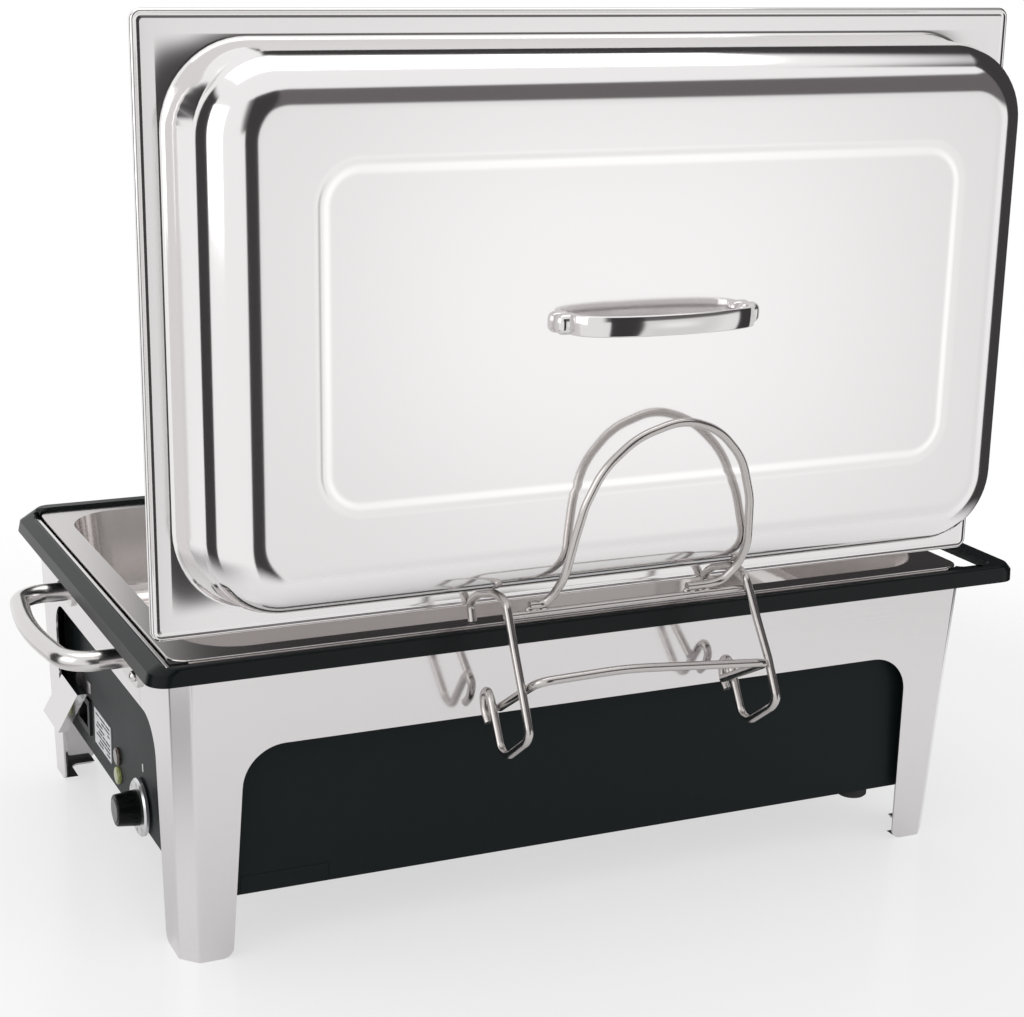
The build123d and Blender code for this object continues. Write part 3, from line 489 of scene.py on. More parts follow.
LID_STEEL = SteelFinish(
    "lid_mirror_steel",
    colour=(0.86, 0.845, 0.845),
    dull=(0.84, 0.825, 0.825),
    roughness=0.10,
    smudge=0.02,
    wave_scale=4.0,
    wave_depth=0.0003,
)
# Brighter colour painted on the lid's ridge crest as a highlight, with the softness of its edges.
RIDGE_HIGHLIGHT_COLOUR: Colour = (0.95, 0.94, 0.935)
RIDGE_HIGHLIGHT_SOFT = 0.0018
PAN_STEEL = SteelFinish(
    "pan_bright_steel",
    colour=(0.62, 0.595, 0.585),
    dull=(0.56, 0.54, 0.53),
    roughness=0.15,
    smudge=0.08,
)
BRIGHT_STEEL = SteelFinish(
    "trim_bright_steel",
    colour=(0.78, 0.765, 0.76),
    dull=(0.72, 0.70, 0.70),
    roughness=0.10,
    smudge=0.05,
)
PANEL_STEEL = SteelFinish(
    "stand_satin_steel",
    colour=(0.75, 0.73, 0.735),
    dull=(0.72, 0.70, 0.705),
    roughness=0.09,
    smudge=0.04,
    grain=Grain.ALONG_X,
    grain_scale=1100.0,
    grain_depth=0.000006,
    wave_scale=4.0,
    wave_depth=0.0002,
)
WIRE_STEEL = SteelFinish(
    "drawn_wire_steel",
    colour=(0.60, 0.575, 0.56),
    dull=(0.48, 0.46, 0.45),
    roughness=0.20,
    smudge=0.12,
)
HANDLE_STEEL = SteelFinish(
    "tube_steel",
    colour=(0.73, 0.71, 0.70),
    dull=(0.66, 0.64, 0.63),
    roughness=0.20,
    smudge=0.06,
    grain=Grain.ALONG_Y,
    grain_scale=1200.0,
    grain_depth=0.00001,
)
PLAIN_STEEL = SteelFinish(
    "mill_steel",
    colour=(0.52, 0.51, 0.50),
    dull=(0.44, 0.43, 0.42),
    roughness=0.34,
    smudge=0.15,
)
DIAL_STEEL = SteelFinish(
    "dial_aluminium",
    colour=(0.78, 0.78, 0.79),
    dull=(0.70, 0.70, 0.71),
    roughness=0.28,
    smudge=0.05,
)
CAP_METAL = SteelFinish(
    "knob_cap_metal",
    colour=(0.20, 0.20, 0.205),
    dull=(0.15, 0.15, 0.155),
    roughness=0.30,
    smudge=0.05,
)
PLATE_FOIL = MouldedFinish(
    "plate_foil",
    colour=(0.70, 0.71, 0.73),
    worn=(0.60, 0.61, 0.63),
    roughness=0.35,
    texture_scale=600.0,
    texture_depth=0.00001,
    coat=0.3,
)
RIM_PLASTIC = MouldedFinish(
    "rim_black_plastic",
    colour=(0.0022, 0.0045, 0.005),
    worn=(0.0035, 0.006, 0.0065),
    roughness=0.30,
    specular=0.2,
)
HOUSING_PAINT = MouldedFinish(
    "housing_black_paint",
    colour=(0.0075, 0.0110, 0.0120),
    worn=(0.0090, 0.0130, 0.0140),
    roughness=0.42,
    texture_scale=1800.0,
    texture_depth=0.00002,
    specular=0.12,
)
KNOB_PLASTIC = MouldedFinish(
    "knob_black_plastic",
    colour=(0.0015, 0.002, 0.002),
    worn=(0.003, 0.0035, 0.0035),
    roughness=0.24,
    specular=0.15,
)
SOCKET_PLASTIC = MouldedFinish(
    "socket_black_plastic",
    colour=(0.012, 0.012, 0.013),
    worn=(0.02, 0.02, 0.02),
    roughness=0.45,
)
PAD_RUBBER = MouldedFinish(
    "pad_rubber",
    colour=(0.014, 0.014, 0.014),
    worn=(0.022, 0.022, 0.022),
    roughness=0.75,
    texture_scale=900.0,
    texture_depth=0.0001,
)
AMBER_LENS = LensFinish("lamp_lens_amber", (0.060, 0.038, 0.026), (0.028, 0.019, 0.014))
GREEN_LENS = LensFinish("lamp_lens_green", (0.34, 0.37, 0.12), (0.20, 0.22, 0.07))
BLACK_INK = InkFinish("print_black", (0.015, 0.015, 0.016))
WHITE_INK = InkFinish("print_white", (0.78, 0.78, 0.76))


# ------------------------------------------------------------------ making pieces
class Workshop:
    """Makes finished pieces and dresses the nodes of the frame."""

    def __init__(self) -> None:
        """Starts with no materials made."""
        self._made: dict[str, bpy.types.Material] = {}

    def material(self, finish: Finish) -> bpy.types.Material:
        """The material of a finish, made once."""
        if finish.name not in self._made:
            self._made[finish.name] = finish.build()
        return self._made[finish.name]

    def dress(self, finish: Finish, *nodes: str) -> None:
        """Gives nodes of the frame their finish.

        Args:
            finish: the finish.
            nodes: names of the nodes.
        """
        for name in nodes:
            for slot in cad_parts[name].material_slots:
                slot.material = self.material(finish)
            LOG.info("dressed %s with %s", name, finish.name)

    def piece(
        self,
        name: str,
        shape: bmesh.types.BMesh,
        finish: Finish,
        body: str,
        slot: str,
        angle: float = 35.0,
    ) -> bpy.types.Object:
        """Turns a bmesh into a finished piece that rides on a body.

        Args:
            name: the piece's name.
            shape: its bmesh, in place, which is freed.
            finish: its finish.
            body: the CAD body that carries it.
            slot: not used.
            angle: edges sharper than this many degrees stay sharp.

        Returns:
            The object, which sits at the origin.
        """
        bmesh.ops.remove_doubles(shape, verts=shape.verts, dist=MERGE_DISTANCE)
        bmesh.ops.recalc_face_normals(shape, faces=shape.faces)
        mesh = bpy.data.meshes.new(name)
        shape.to_mesh(mesh)
        shape.free()
        mesh.shade_smooth()
        mesh.set_sharp_from_angle(angle=math.radians(angle))
        mesh.materials.append(self.material(finish))
        thing = bpy.data.objects.new(name, mesh)
        bpy.context.scene.collection.objects.link(thing)
        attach(thing, body)
        LOG.info("made %s on %s", name, body)
        return thing


def corners(node: str) -> tuple[Vector, Vector, Vector]:
    """Lowest corner, middle and highest corner of a node's box."""
    low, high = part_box(node)
    return low, (low + high) / 2, high


def add_block(
    shape: bmesh.types.BMesh, place: Matrix, size: Sequence[float], bevel: float, segments: int = 2
) -> None:
    """Adds a block with rounded edges.

    Args:
        shape: bmesh that gets it.
        place: where its middle goes.
        size: its three lengths.
        bevel: rounding of its edges.
        segments: steps of that rounding.
    """
    made = bmesh.ops.create_cube(shape, size=1.0)
    bmesh.ops.scale(shape, verts=made["verts"], vec=Vector(size))
    edges = list({edge for vert in made["verts"] for edge in vert.link_edges})
    out = bmesh.ops.bevel(
        shape, geom=edges, offset=bevel, segments=segments, profile=0.5, affect="EDGES", material=-1
    )
    verts = {vert for face in out["faces"] for vert in face.verts}
    verts |= {vert for vert in made["verts"] if vert.is_valid}
    bmesh.ops.transform(shape, verts=list(verts), matrix=place)


def add_bead(
    shape: bmesh.types.BMesh, centre: Vector, along: Vector, length: float, radius: float
) -> None:
    """Adds one weld bead: a short swelling that tapers along the wire.

    Args:
        shape: bmesh that gets it.
        centre: its middle.
        along: direction of the wire.
        length: its half length.
        radius: its half thickness.
    """
    made = bmesh.ops.create_uvsphere(shape, u_segments=20, v_segments=14, radius=1.0)
    for vert in made["verts"]:
        x, y, z = vert.co
        around = math.cos(BEAD_LOBES * math.atan2(y, x))
        ripple = 1.0 + BEAD_RIPPLE * math.sin(BEAD_WAVES * z) * around
        vert.co = Vector((x * radius * ripple, y * radius * ripple, z * length))
    turn = along.to_track_quat("Z", "Y").to_matrix().to_4x4()
    bmesh.ops.transform(shape, verts=made["verts"], matrix=Matrix.Translation(centre) @ turn)


def sweep(shape: bmesh.types.BMesh, loops: Sequence[Sequence[Vector]]) -> list[bmesh.types.BMEdge]:
    """Draws a skin through closed loops of points, by extruding the first loop.

    Args:
        shape: bmesh that gets it.
        loops: loops with the same number of points, in order.

    Returns:
        The edges of the last loop.
    """
    made = bmesh.ops.create_circle(shape, segments=len(loops[0]), radius=1.0)
    verts = list(made["verts"])
    edges = list({edge for vert in verts for edge in vert.link_edges})
    for index, points in enumerate(loops):
        if index:
            out = bmesh.ops.extrude_edge_only(shape, edges=edges)["geom"]
            fresh = {part for part in out if isinstance(part, bmesh.types.BMVert)}
            edges = [
                part for part in out if isinstance(part, bmesh.types.BMEdge) and fresh.issuperset(part.verts)
            ]
            verts = [next(e.other_vert(v) for e in v.link_edges if e.other_vert(v) in fresh) for v in verts]
        for vert, point in zip(verts, points):
            vert.co = point
    return edges


# ------------------------------------------------------------------ sub-assemblies
@dataclass
class Stand:
    """Sheet stand with its seams, straps, handle and rivets."""

    shop: Workshop

    def build(self) -> None:
        """Dresses the stand's nodes."""
        self.shop.dress(
            PANEL_STEEL, "near_side_panel", "far_side_panel", "control_end_panel", "grip_end_panel"
        )
        self.shop.dress(PLAIN_STEEL, "seam_straps", "housing_brackets")
        self.shop.dress(HANDLE_STEEL, "end_handle", "handle_rivets")


@dataclass
class Pans:
    """Black rim, bright inlay and both pans."""

    shop: Workshop

    def build(self) -> None:
        """Dresses the rim and the pans."""
        self.shop.dress(RIM_PLASTIC, "top_rim")
        self.shop.dress(BRIGHT_STEEL, "rim_inlay")
        self.shop.dress(PAN_STEEL, "food_pan", "water_pan")


@dataclass
class Housing:
    """Black heater housing with its inner parts."""

    shop: Workshop
    mark_above_knob: tuple[float, float] = (-0.001, 0.0265)
    mark_size: tuple[float, float] = (0.0022, 0.0052)
    ink: float = 0.0002
    plate_edge: float = 0.003
    dash: float = 0.0095
    dash_gap: float = 0.0018
    dash_height: float = 0.0010
    dash_rows: int = 8
    dashes_in_row: int = 3
    dash_spread: float = 0.45
    dash_rhythm: Span = (2.3, 1.7)
    ink_bevel: float = 0.4

    def plate_print(self) -> bmesh.types.BMesh:
        """Rows of plain dashes that fill the plate, without words."""
        shape = bmesh.new()
        low, _, high = corners("end_plate")
        by_row, by_part = self.dash_rhythm
        for row in range(self.dash_rows):
            height = high.z - (row + 1) * (high.z - low.z) / (self.dash_rows + 1)
            start = low.y + self.plate_edge
            for part in range(self.dashes_in_row):
                wave = math.sin(by_row * row + by_part * part)
                length = self.dash * (1.0 + self.dash_spread * wave)
                if (row + part) % 5 != 3:
                    place = Matrix.Translation((low.x - self.ink / 2, start + length / 2, height))
                    size = (self.ink, length, self.dash_height)
                    add_block(shape, place, size, self.ink * self.ink_bevel)
                start += length + self.dash_gap
        return shape

    def build(self) -> None:
        """Dresses the housing and prints the index mark above the knob and the plate."""
        self.shop.dress(HOUSING_PAINT, "heater_housing", "housing_bottom_cover")
        self.shop.dress(PAD_RUBBER, "housing_pads")
        self.shop.dress(PLAIN_STEEL, "heating_element", "element_supports", "knob_shaft")
        self.shop.dress(
            SOCKET_PLASTIC, "thermostat_body", "terminal_block", "lamp_bodies", "power_inlet"
        )
        self.shop.dress(PLATE_FOIL, "end_plate")
        self.shop.dress(PANEL_STEEL, "inlet_hood")
        shape = bmesh.new()
        face_x = corners("heater_housing")[0].x
        axis = corners("knob_skirt")[1]
        across, above = self.mark_above_knob
        place = Matrix.Translation((face_x - self.ink / 2, axis.y + across, axis.z + above))
        add_block(shape, place, (self.ink, *self.mark_size), self.ink * self.ink_bevel)
        self.shop.piece("index_mark", shape, WHITE_INK, "stand", "dial_silver")
        self.shop.piece("plate_print", self.plate_print(), BLACK_INK, "stand", "black_plastic")


@dataclass
class Controls:
    """Thermostat knob with its printed dial, and the two pilot lamps."""

    shop: Workshop
    digit_radius: float = 0.0146
    digit_height: float = 0.0030
    tick_inner: float = 0.0164
    tick_outer: float = 0.0172
    tick_step: float = 0.0003
    tick_widths: Span = (0.0004, 0.00025)
    tick_height: float = 0.00008
    tick_bevel: float = 0.00002
    ticks_per_digit: int = 4
    letter_size: float = 1.35
    letter_height: float = 0.00004
    steps: int = 6
    sweep: float = 270.0

    def place(self, angle: float, radius: float) -> Matrix:
        """Place on the dial at an angle from the top, seen from the front, turned to face outwards.

        Args:
            angle: degrees counter-clockwise.
            radius: distance from the axis.

        Returns:
            The matrix, whose local X runs along the dial and Z out of it.
        """
        facing = Matrix(((0, 0, -1, 0), (-1, 0, 0, 0), (0, 1, 0, 0), (0, 0, 0, 1)))
        low, middle, _ = corners("knob_skirt")
        centre = Matrix.Translation((low.x, middle.y, middle.z))
        turn = Matrix.Rotation(math.radians(angle), 4, "Z")
        return centre @ facing @ turn @ Matrix.Translation((0, radius, 0))

    def digits(self) -> bmesh.types.BMesh:
        """Digits round the dial, as one bmesh."""
        shape = bmesh.new()
        for step in range(self.steps + 1):
            text = bpy.data.curves.new(f"digit_{step}", "FONT")
            text.body = str(step)
            text.size = self.digit_height * self.letter_size
            text.align_x = "CENTER"
            text.align_y = "CENTER"
            text.extrude = self.letter_height
            holder = bpy.data.objects.new(f"digit_{step}", text)
            mesh = bpy.data.meshes.new_from_object(holder)
            mesh.transform(self.place(step * self.sweep / self.steps, self.digit_radius))
            shape.from_mesh(mesh)
            bpy.data.objects.remove(holder)
            bpy.data.meshes.remove(mesh)
            bpy.data.curves.remove(text)
        return shape

    def ticks(self) -> bmesh.types.BMesh:
        """Fine ticks along the edge of the dial, longer at each digit."""
        shape = bmesh.new()
        count = self.steps * self.ticks_per_digit
        wide, narrow = self.tick_widths
        for index in range(count + 1):
            long_tick = index % self.ticks_per_digit == 0
            inner = self.tick_inner if long_tick else self.tick_inner + self.tick_step
            middle = (inner + self.tick_outer) / 2
            place = self.place(index * self.sweep / count, middle)
            size = (wide if long_tick else narrow, self.tick_outer - inner, self.tick_height)
            add_block(shape, place, size, self.tick_bevel)
        return shape

    def build(self) -> None:
        """Dresses the knob and lamps and prints the dial."""
        self.shop.dress(DIAL_STEEL, "knob_skirt")
        self.shop.dress(CAP_METAL, "knob_insert")
        self.shop.dress(KNOB_PLASTIC, "knob_grip")
        self.shop.dress(AMBER_LENS, "pilot_lamp_upper")
        self.shop.dress(GREEN_LENS, "pilot_lamp_lower")
        self.shop.piece("dial_digits", self.digits(), BLACK_INK, "knob", "knob_black")
        self.shop.piece("dial_ticks", self.ticks(), BLACK_INK, "knob", "knob_black")


@dataclass
class LidHolder:
    """Wire holder that hangs on the pan's flange, with weld beads at the feet of its loop."""

    shop: Workshop
    feet: tuple[tuple[float, float], ...] = ((-0.066, -0.057), (0.036, 0.050))
    foot_above_rod: float = 0.00495
    bead_length: float = 0.0042
    bead_radius: float = 0.0022
    bead_shares: Span = (0.15, 0.85)

    def build(self) -> None:
        """Dresses the wires and adds the weld beads between rod and loop."""
        self.shop.dress(
            WIRE_STEEL,
            "holder_side_wire_left",
            "holder_side_wire_right",
            "holder_rod",
            "holder_loop",
            "holder_bail",
        )
        shape = bmesh.new()
        rod = corners("holder_rod")[1]
        stand_x = corners("food_pan")[1].x
        for start, end in self.feet:
            for share in self.bead_shares:
                across = stand_x + start + (end - start) * share
                centre = Vector((across, rod.y, rod.z + self.foot_above_rod / 2))
                add_bead(shape, centre, Vector((1, 0, 0)), self.bead_length, self.bead_radius)
        self.shop.piece("holder_welds", shape, WIRE_STEEL, "holder", "wire_steel", 60.0)


@dataclass(frozen=True)
class Station:
    """One loop of the lid's skin: its inset from the lid's outline, height and corner radius."""

    inset: float
    height: float
    corner: float
    ridge: bool = False


ROLLED_EDGE: tuple[Span, ...] = (
    (0.0, -0.003),
    (0.0, -0.0014),
    (0.0001, -0.0007),
    (0.0004, -0.0001),
    (0.0008, 0.0002),
    (0.0013, 0.00035),
    (0.0018, 0.0003),
    (0.0023, 0.0001),
    (0.0028, -0.0001),
    (0.0034, -0.00015),
    (0.0040, -0.0001),
    (0.0046, 0.0),
    (0.0052, 0.0),
    (0.0124, 0.0),
)


@dataclass
class Lid:
    """Pressed lid with its rolled edge, soft ridge and bow handle."""

    shop: Workshop
    length: float = 0.546
    width: float = 0.3365
    lean: float = 2.06
    foot_up: float = 0.00905
    foot_in: float = 0.0099
    sheet: float = 0.001
    margin: float = 0.016
    depth: float = 0.060
    draft: float = 0.007
    shoulder: float = 0.028
    foot: float = 0.003
    edge_corner: float = 0.006
    dome_corner: float = 0.046
    ridge_half: tuple[float, float] = (0.200, 0.094)
    ridge_shift: tuple[float, float] = (0.004, 0.0015)
    ridge_corner: float = 0.025
    ridge_width: float = 0.008
    ridge_rise: float = 0.00014
    corner_steps: int = 14
    edge_corner_least: float = 0.002
    wall_guards: Span = (0.0008, 0.0022)
    wall_corner_loss: float = 0.0023
    crown_corner_loss: float = 0.004
    crown_guard: float = 0.002
    foot_steps: int = 6
    shoulder_steps: int = 18
    ridge_steps: int = 16
    bow_middle: tuple[float, float] = (0.0026, 0.00475)
    bow_half: float = 0.0547
    bow_root: float = 0.0035
    bow_crest: float = 0.0290
    bow_width: float = 0.0113
    bow_thick: float = 0.0032
    mount_size: tuple[float, float, float] = (0.0130, 0.0118, 0.0090)
    mount_bevel: float = 0.0042
    mount_out: float = 0.002
    bow_power: float = 0.62
    bow_steepest: float = 0.15
    bow_edge: float = 0.45
    bow_corner: float = 0.3
    bow_steps: int = 40

    def place(self) -> Matrix:
        """Where the lid stands: X along it, Y up it and Z out of its crown."""
        low, middle, high = corners("food_pan")
        turn = math.radians(self.lean)
        near = low.y + self.foot_in
        columns = Matrix(
            (
                (1, 0, 0, middle.x),
                (0, math.sin(turn), -math.cos(turn), near),
                (0, math.cos(turn), math.sin(turn), high.z + self.foot_up),
                (0, 0, 0, 1),
            )
        )
        return columns @ Matrix.Translation((0, self.width / 2, 0))

    def stations(self) -> list[Station]:
        """Loops from the back of the rolled edge to the middle of the crown."""
        loops = [
            Station(inset, height, max(self.edge_corner - inset, self.edge_corner_least))
            for inset, height in ROLLED_EDGE
        ]
        for step in range(self.foot_steps + 1):
            angle = math.radians(90.0 * step / self.foot_steps)
            inset = self.margin - self.foot * (1 - math.sin(angle))
            height = self.foot * (1 - math.cos(angle))
            loops.append(Station(inset, height, self.dome_corner + self.margin - inset))
        slope = self.draft / self.depth
        lower, upper = self.wall_guards
        for height in (self.foot + lower, self.depth - self.shoulder + upper):
            inset = self.margin + slope * height
            loops.append(Station(inset, height, self.dome_corner - slope * height))
        norm = math.hypot(1.0, slope)
        centre = self.margin + slope * (self.depth - self.shoulder) + self.shoulder * norm
        start = math.atan2(slope, -1.0)
        first = centre + self.shoulder * math.cos(start)
        crown_inset = centre - self.margin - self.draft
        last_corner = self.dome_corner - self.crown_corner_loss - crown_inset
        for step in range(self.shoulder_steps + 1):
            angle = start + (math.radians(90.0) - start) * step / self.shoulder_steps
            inset = centre + self.shoulder * math.cos(angle)
            height = self.depth - self.shoulder + self.shoulder * math.sin(angle)
            share = (inset - first) / (centre - first)
            corner = (self.dome_corner - self.wall_corner_loss) * (1 - share) + last_corner * share
            loops.append(Station(inset, height, corner))
        loops.append(Station(centre + self.crown_guard, self.depth, last_corner))
        steps = self.ridge_steps
        for step in range(-1, steps + 2):
            across = self.ridge_width * step / steps
            guard = step in (-1, steps + 1)
            wave = 0.0 if guard else (1 - math.cos(math.tau * step / steps)) / 2
            height = self.depth + self.ridge_rise * wave
            loops.append(Station(across, height, self.ridge_corner - across, True))
        return loops

    def outline(self, station: Station) -> list[Vector]:
        """Points of one loop.

        Args:
            station: the loop.

        Returns:
            Its points in order round the lid.
        """
        half_u, half_v = self.ridge_half if station.ridge else (self.length / 2, self.width / 2)
        shift = self.ridge_shift if station.ridge else (0.0, 0.0)
        points = []
        for quarter in range(4):
            side_u = 1 if quarter in (0, 3) else -1
            side_v = 1 if quarter in (0, 1) else -1
            middle_u = shift[0] + side_u * (half_u - station.inset - station.corner)
            middle_v = shift[1] + side_v * (half_v - station.inset - station.corner)
            for step in range(self.corner_steps + 1):
                angle = math.radians(90.0) * (quarter + step / self.corner_steps)
                across = station.corner * math.cos(angle)
                along = station.corner * math.sin(angle)
                points.append(Vector((middle_u + across, middle_v + along, station.height)))
        return points

    def skin(self) -> bmesh.types.BMesh:
        """The lid's sheet, as one bmesh in place."""
        shape = bmesh.new()
        edges = sweep(shape, [self.outline(station) for station in self.stations()])
        bmesh.ops.contextual_create(shape, geom=edges)
        bmesh.ops.recalc_face_normals(shape, faces=shape.faces)
        if max(shape.faces, key=lambda face: face.calc_area()).normal.z < 0:
            bmesh.ops.reverse_faces(shape, faces=shape.faces)
        bmesh.ops.solidify(shape, geom=list(shape.faces), thickness=self.sheet)
        bmesh.ops.transform(shape, verts=list(shape.verts), matrix=self.place())
        return shape

    def bow(self) -> bmesh.types.BMesh:
        """The handle's flat bow, as one bmesh in place."""
        shape = bmesh.new()
        steps = self.bow_steps
        half, thick = self.bow_width / 2, self.bow_thick / 2
        edge = thick * self.bow_edge
        cut = edge * self.bow_corner
        corner = [(half - edge, thick), (half - cut, thick - cut), (half, thick - edge)]
        section = corner + [(v, -w) for v, w in reversed(corner)]
        section += [(-v, -w) for v, w in corner] + [(-v, w) for v, w in reversed(corner)]
        rise = self.bow_crest - self.bow_root
        loops = []
        for step in range(steps + 1):
            turn = math.pi * step / steps
            share = -math.cos(turn)
            lift = math.sin(turn) ** self.bow_power
            run = self.bow_half * max(math.sin(turn), self.bow_steepest)
            tilt = math.atan2(math.cos(turn) * rise * self.bow_power, run)
            across = self.bow_middle[0] + self.bow_half * share
            middle = Vector((across, self.bow_middle[1], self.depth))
            middle.z += self.bow_root + rise * lift
            loops.append(
                [middle + Vector((-w * math.sin(tilt), v, w * math.cos(tilt))) for v, w in section]
            )
        last = sweep(shape, loops)
        bmesh.ops.contextual_create(shape, geom=last)
        bmesh.ops.holes_fill(shape, edges=[edge for edge in shape.edges if edge.is_boundary])
        bmesh.ops.transform(shape, verts=list(shape.verts), matrix=self.place())
        return shape

    def mounts(self) -> bmesh.types.BMesh:
        """The two blocks that carry the bow, as one bmesh in place."""
        shape = bmesh.new()
        for side in (-1, 1):
            across = self.bow_middle[0] + side * (self.bow_half + self.mount_out)
            height = self.depth + self.mount_size[2] / 2
            place = Matrix.Translation((across, self.bow_middle[1], height))
            add_block(shape, self.place() @ place, self.mount_size, self.mount_bevel, 5)
        return shape

    def build(self) -> None:
        """Presses the lid's skin and makes its handle."""
        # Painted highlight: a brighter tint along the crest of the lid's ridge.
        middle = self.place() @ Vector((*self.ridge_shift, self.depth))
        painted_ridge_highlight = RidgeBuff(
            middle=(middle.x, middle.z),
            half=self.ridge_half,
            corner=self.ridge_corner,
            width=self.ridge_width,
            soft=RIDGE_HIGHLIGHT_SOFT,
            colour=RIDGE_HIGHLIGHT_COLOUR,
        )
        steel = replace(LID_STEEL, ridge=painted_ridge_highlight)
        lid = self.shop.piece("lid_pressing", self.skin(), steel, "lid", "bright_steel", 50.0)
        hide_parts("lid")
        bow = self.shop.piece("lid_bow", self.bow(), BRIGHT_STEEL, "lid", "bright_steel", 50.0)
        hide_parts("lid_handle")
        mounts = self.shop.piece(
            "lid_bow_mounts", self.mounts(), BRIGHT_STEEL, "lid", "bright_steel", 60.0
        )
        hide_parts("lid_handle_mounts")


# ------------------------------------------------------------------ studio
@dataclass(frozen=True)
class Patch:
    """Part of the surroundings, between two turns and two rises in degrees, with soft edges."""

    turn: Span
    turn_soft: float
    rise: Span
    rise_soft: float

    def mask(self, turn: Value, rise: Value) -> Value:
        """1 inside the patch and 0 outside."""
        return turn.within(*self.turn, self.turn_soft) * rise.within(*self.rise, self.rise_soft)


@dataclass(frozen=True)
class SoftBox:
    """Area lamp. Its radiance is how bright its face is, where 1 is white."""

    name: str
    place: tuple[float, float, float]
    aim: tuple[float, float, float]
    size: Span
    radiance: float

    def hang(self) -> None:
        """Adds the lamp to the scene, unseen by the camera."""
        data = bpy.data.lights.new(self.name, "AREA")
        data.shape = "RECTANGLE"
        data.size, data.size_y = self.size
        data.energy = self.radiance * math.pi * self.size[0] * self.size[1]
        light = bpy.data.objects.new(self.name, data)
        light.location = self.place
        light.rotation_mode = "QUATERNION"
        towards = Vector(self.aim) - Vector(self.place)
        light.rotation_quaternion = towards.to_track_quat("-Z", "Y")
        light.visible_camera = False
        bpy.context.scene.collection.objects.link(light)


FRONT_GAP = Patch((-102.0, -76.0), 1.2, (-60.0, 37.0), 2.0)
UPPER_GAP = Patch((-110.0, -20.0), 6.0, (6.0, 36.0), 2.0)
RIGHT_GAP = Patch((-24.0, 75.0), 2.0, (-60.0, 50.0), 4.0)
LEFT_GAP = Patch((138.0, 173.0), 1.5, (-60.0, 40.0), 4.0)
FRONT_SCREEN = Patch((-74.0, -42.0), 6.0, (-40.0, 6.0), 6.0)
FRONT_GLOW = Patch((-69.0, -54.0), 6.0, (-12.0, 0.0), 5.0)
SOFT_BOXES = (
    SoftBox("overhead_box", (0.0, 0.15, 1.9), (0.0, 0.0, 0.0), (2.0, 1.1), 1.3),
    SoftBox("left_box", (-1.9, -0.5, 0.9), (0.0, 0.0, 0.25), (1.2, 1.3), 1.1),
)


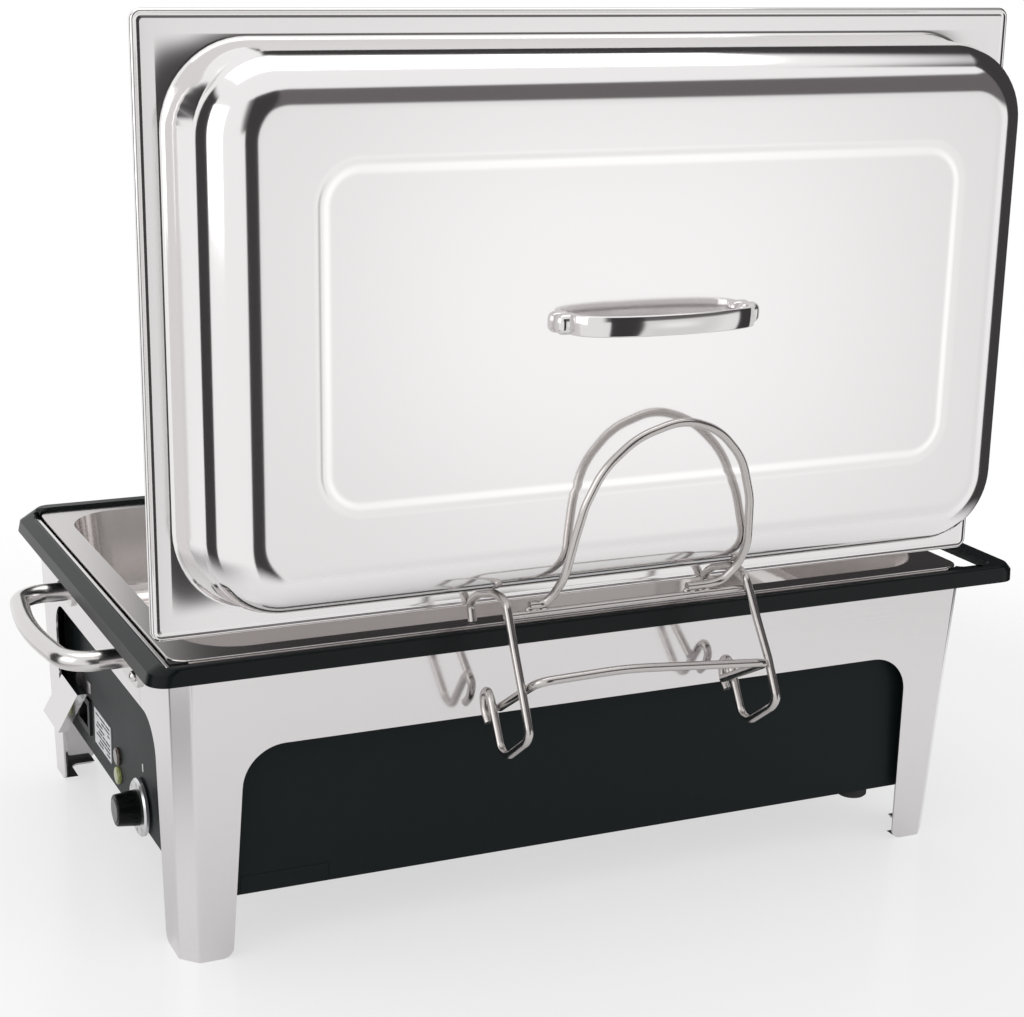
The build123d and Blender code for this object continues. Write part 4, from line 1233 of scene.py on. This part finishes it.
@dataclass
class Studio:
    """Floor, soft boxes, sky and camera."""

    aim: tuple[float, float, float] = (-0.04530, 0.05175, 0.13278)
    azimuth: float = -22.5504
    elevation: float = 18.2361
    roll: float = 0.7840
    distance: float = 1.39377
    lens: float = 70.789
    shift: tuple[float, float] = (0.11797, 0.09004)
    floor_half: float = 3.0
    fade: tuple[float, float] = (0.50, 0.82)
    glare: float = 0.64
    mirror_glare: float = 0.30
    left_fall: tuple[float, float] = (-0.66, -0.24)
    left_shade: Colour = (0.25, 0.24, 0.245)
    left_share: float = 0.65
    level: float = 0.80
    deep_dark: Colour = (0.05, 0.046, 0.048)
    upper_dark: Colour = (0.15, 0.138, 0.142)
    screen: Colour = (0.98, 0.975, 0.975)
    second_bounce: Colour = (0.90, 0.89, 0.89)
    front_drop: float = 0.14
    glow_rise: float = 0.24
    sensor: float = 36.0
    clip: Span = (0.05, 50.0)
    board: tuple[Colour, Colour] = ((0.86, 0.86, 0.86), (0.88, 0.875, 0.88))
    board_roughness: float = 0.16
    board_spread: float = 0.04
    board_ior: float = 1.45

    def stand_middle(self) -> Vector:
        """Point on the floor below the middle of the stand."""
        middle = corners("food_pan")[1]
        return Vector((middle.x, middle.y, 0.0))

    def camera(self) -> None:
        """Places the camera."""
        side = math.radians(self.azimuth)
        rise = math.radians(self.elevation)
        flat = math.cos(rise)
        back = Vector((math.sin(side) * flat, -math.cos(side) * flat, math.sin(rise)))
        data = bpy.data.cameras.new("camera")
        data.sensor_width = self.sensor
        data.lens = self.lens
        data.shift_x, data.shift_y = self.shift
        data.clip_start, data.clip_end = self.clip
        camera = bpy.data.objects.new("camera", data)
        bpy.context.scene.collection.objects.link(camera)
        turn = (-back).to_track_quat("-Z", "Y") @ Quaternion((0, 0, 1), math.radians(self.roll))
        camera.rotation_mode = "QUATERNION"
        camera.rotation_quaternion = turn
        camera.location = self.stand_middle() + Vector(self.aim) + back * self.distance
        bpy.context.scene.camera = camera

    def seen(self, tree: ShaderTree) -> tuple[Value, Value]:
        """Masks of camera rays and of rays that show the surroundings in metal or glass."""
        path = tree.node("ShaderNodeLightPath")
        glossy = Value(tree, path.outputs["Is Glossy Ray"])
        through = Value(tree, path.outputs["Is Transmission Ray"])
        mirrored = tree.math("MAXIMUM", glossy, through)
        return Value(tree, path.outputs["Is Camera Ray"]), mirrored

    def floor(self) -> None:
        """Lays the pale floor, which fades into the white sky."""
        shape = bmesh.new()
        bmesh.ops.create_grid(shape, x_segments=8, y_segments=8, size=self.floor_half)
        mesh = bpy.data.meshes.new("floor")
        shape.to_mesh(mesh)
        shape.free()
        material = bpy.data.materials.new("floor_board")
        tree = ShaderTree(material)
        place = tree.coordinates(Coords.OBJECT)
        length = tree.node("ShaderNodeVectorMath", {"operation": "LENGTH"}, {0: place})
        far = Value(tree, length.outputs["Value"]).rises(*self.fade)
        clouds = tree.noise(place, 3.0, 2.0)
        board = tree.node(
            "ShaderNodeBsdfPrincipled",
            {},
            {
                "Base Color": tree.blend(clouds, *self.board),
                "Roughness": self.board_roughness + self.board_spread * clouds,
                "IOR": self.board_ior,
            },
        )
        camera_ray, mirrored = self.seen(tree)
        split = tree.node("ShaderNodeSeparateXYZ", {}, {0: place})
        left = 1.0 - Value(tree, split.outputs[0]).rises(*self.left_fall)
        shaded = left * mirrored
        glow = tree.blend(shaded, WHITE, self.left_shade)
        white = tree.node("ShaderNodeEmission", {}, {"Color": glow, "Strength": 1.0})
        share = camera_ray * self.glare + mirrored * (self.mirror_glare + left * self.left_share)
        lit = tree.node("ShaderNodeMixShader", {}, {0: share, 1: board.outputs[0], 2: white.outputs[0]})
        clear = tree.node("ShaderNodeBsdfTransparent")
        mixed = tree.node("ShaderNodeMixShader", {}, {0: far, 1: lit.outputs[0], 2: clear.outputs[0]})
        tree.surface(mixed)
        mesh.materials.append(material)
        floor = bpy.data.objects.new("floor", mesh)
        floor.location = self.stand_middle()
        bpy.context.scene.collection.objects.link(floor)

    def sky(self) -> None:
        """Makes the white surroundings, which show dark gaps between screens in reflections."""
        world = bpy.data.worlds.new("studio")
        bpy.context.scene.world = world
        tree = ShaderTree(world)
        split = tree.node("ShaderNodeSeparateXYZ", {}, {0: tree.coordinates(Coords.DIRECTION)})
        x, y, z = (Value(tree, split.outputs[i]) for i in range(3))
        turn = tree.math("ARCTAN2", y, x) * (180.0 / math.pi)
        rise = tree.math("ARCSINE", z) * (180.0 / math.pi)
        front_gap = FRONT_GAP.mask(turn, rise)
        upper_gap = UPPER_GAP.mask(turn, rise)
        right_gap = RIGHT_GAP.mask(turn, rise)
        left_gap = LEFT_GAP.mask(turn, rise)
        deep = tree.math("MAXIMUM", tree.math("MAXIMUM", front_gap, right_gap), left_gap)
        front = FRONT_SCREEN.mask(turn, rise)
        glow = FRONT_GLOW.mask(turn, rise)
        level = 1.0 - self.front_drop * front + self.glow_rise * glow
        screens = tree.blend(upper_gap, self.screen, self.upper_dark)
        screens = tree.blend(deep, screens, self.deep_dark)
        camera_ray, mirrored = self.seen(tree)
        path = tree.node("ShaderNodeLightPath")
        first = tree.math("LESS_THAN", Value(tree, path.outputs["Glossy Depth"]), 1.5)
        screens = tree.blend(first, self.second_bounce, screens)
        colour = tree.blend(mirrored, (self.level, self.level, self.level), screens)
        colour = tree.blend(camera_ray, colour, WHITE)
        strength = 1.0 + (level - 1.0) * mirrored
        background = tree.node("ShaderNodeBackground", {}, {"Color": colour, "Strength": strength})
        tree.node("ShaderNodeOutputWorld", {}, {"Surface": background.outputs[0]})

    def build(self) -> None:
        """Sets up the whole studio."""
        self.camera()
        self.floor()
        self.sky()
        for box in SOFT_BOXES:
            box.hang()
        bpy.context.scene.view_settings.view_transform = "Standard"
        LOG.info("studio ready")


def main() -> None:
    """Builds the studio and every sub-assembly in order."""
    logging.basicConfig(level=logging.INFO, format="%(name)s: %(message)s")
    shop = Workshop()
    parts = (Stand(shop), Pans(shop), Housing(shop), Controls(shop), LidHolder(shop), Lid(shop))
    for assembly in (*parts, Studio()):
        assembly.build()
        LOG.info("%s done", type(assembly).__name__)


if __name__ == "__main__":
    main()
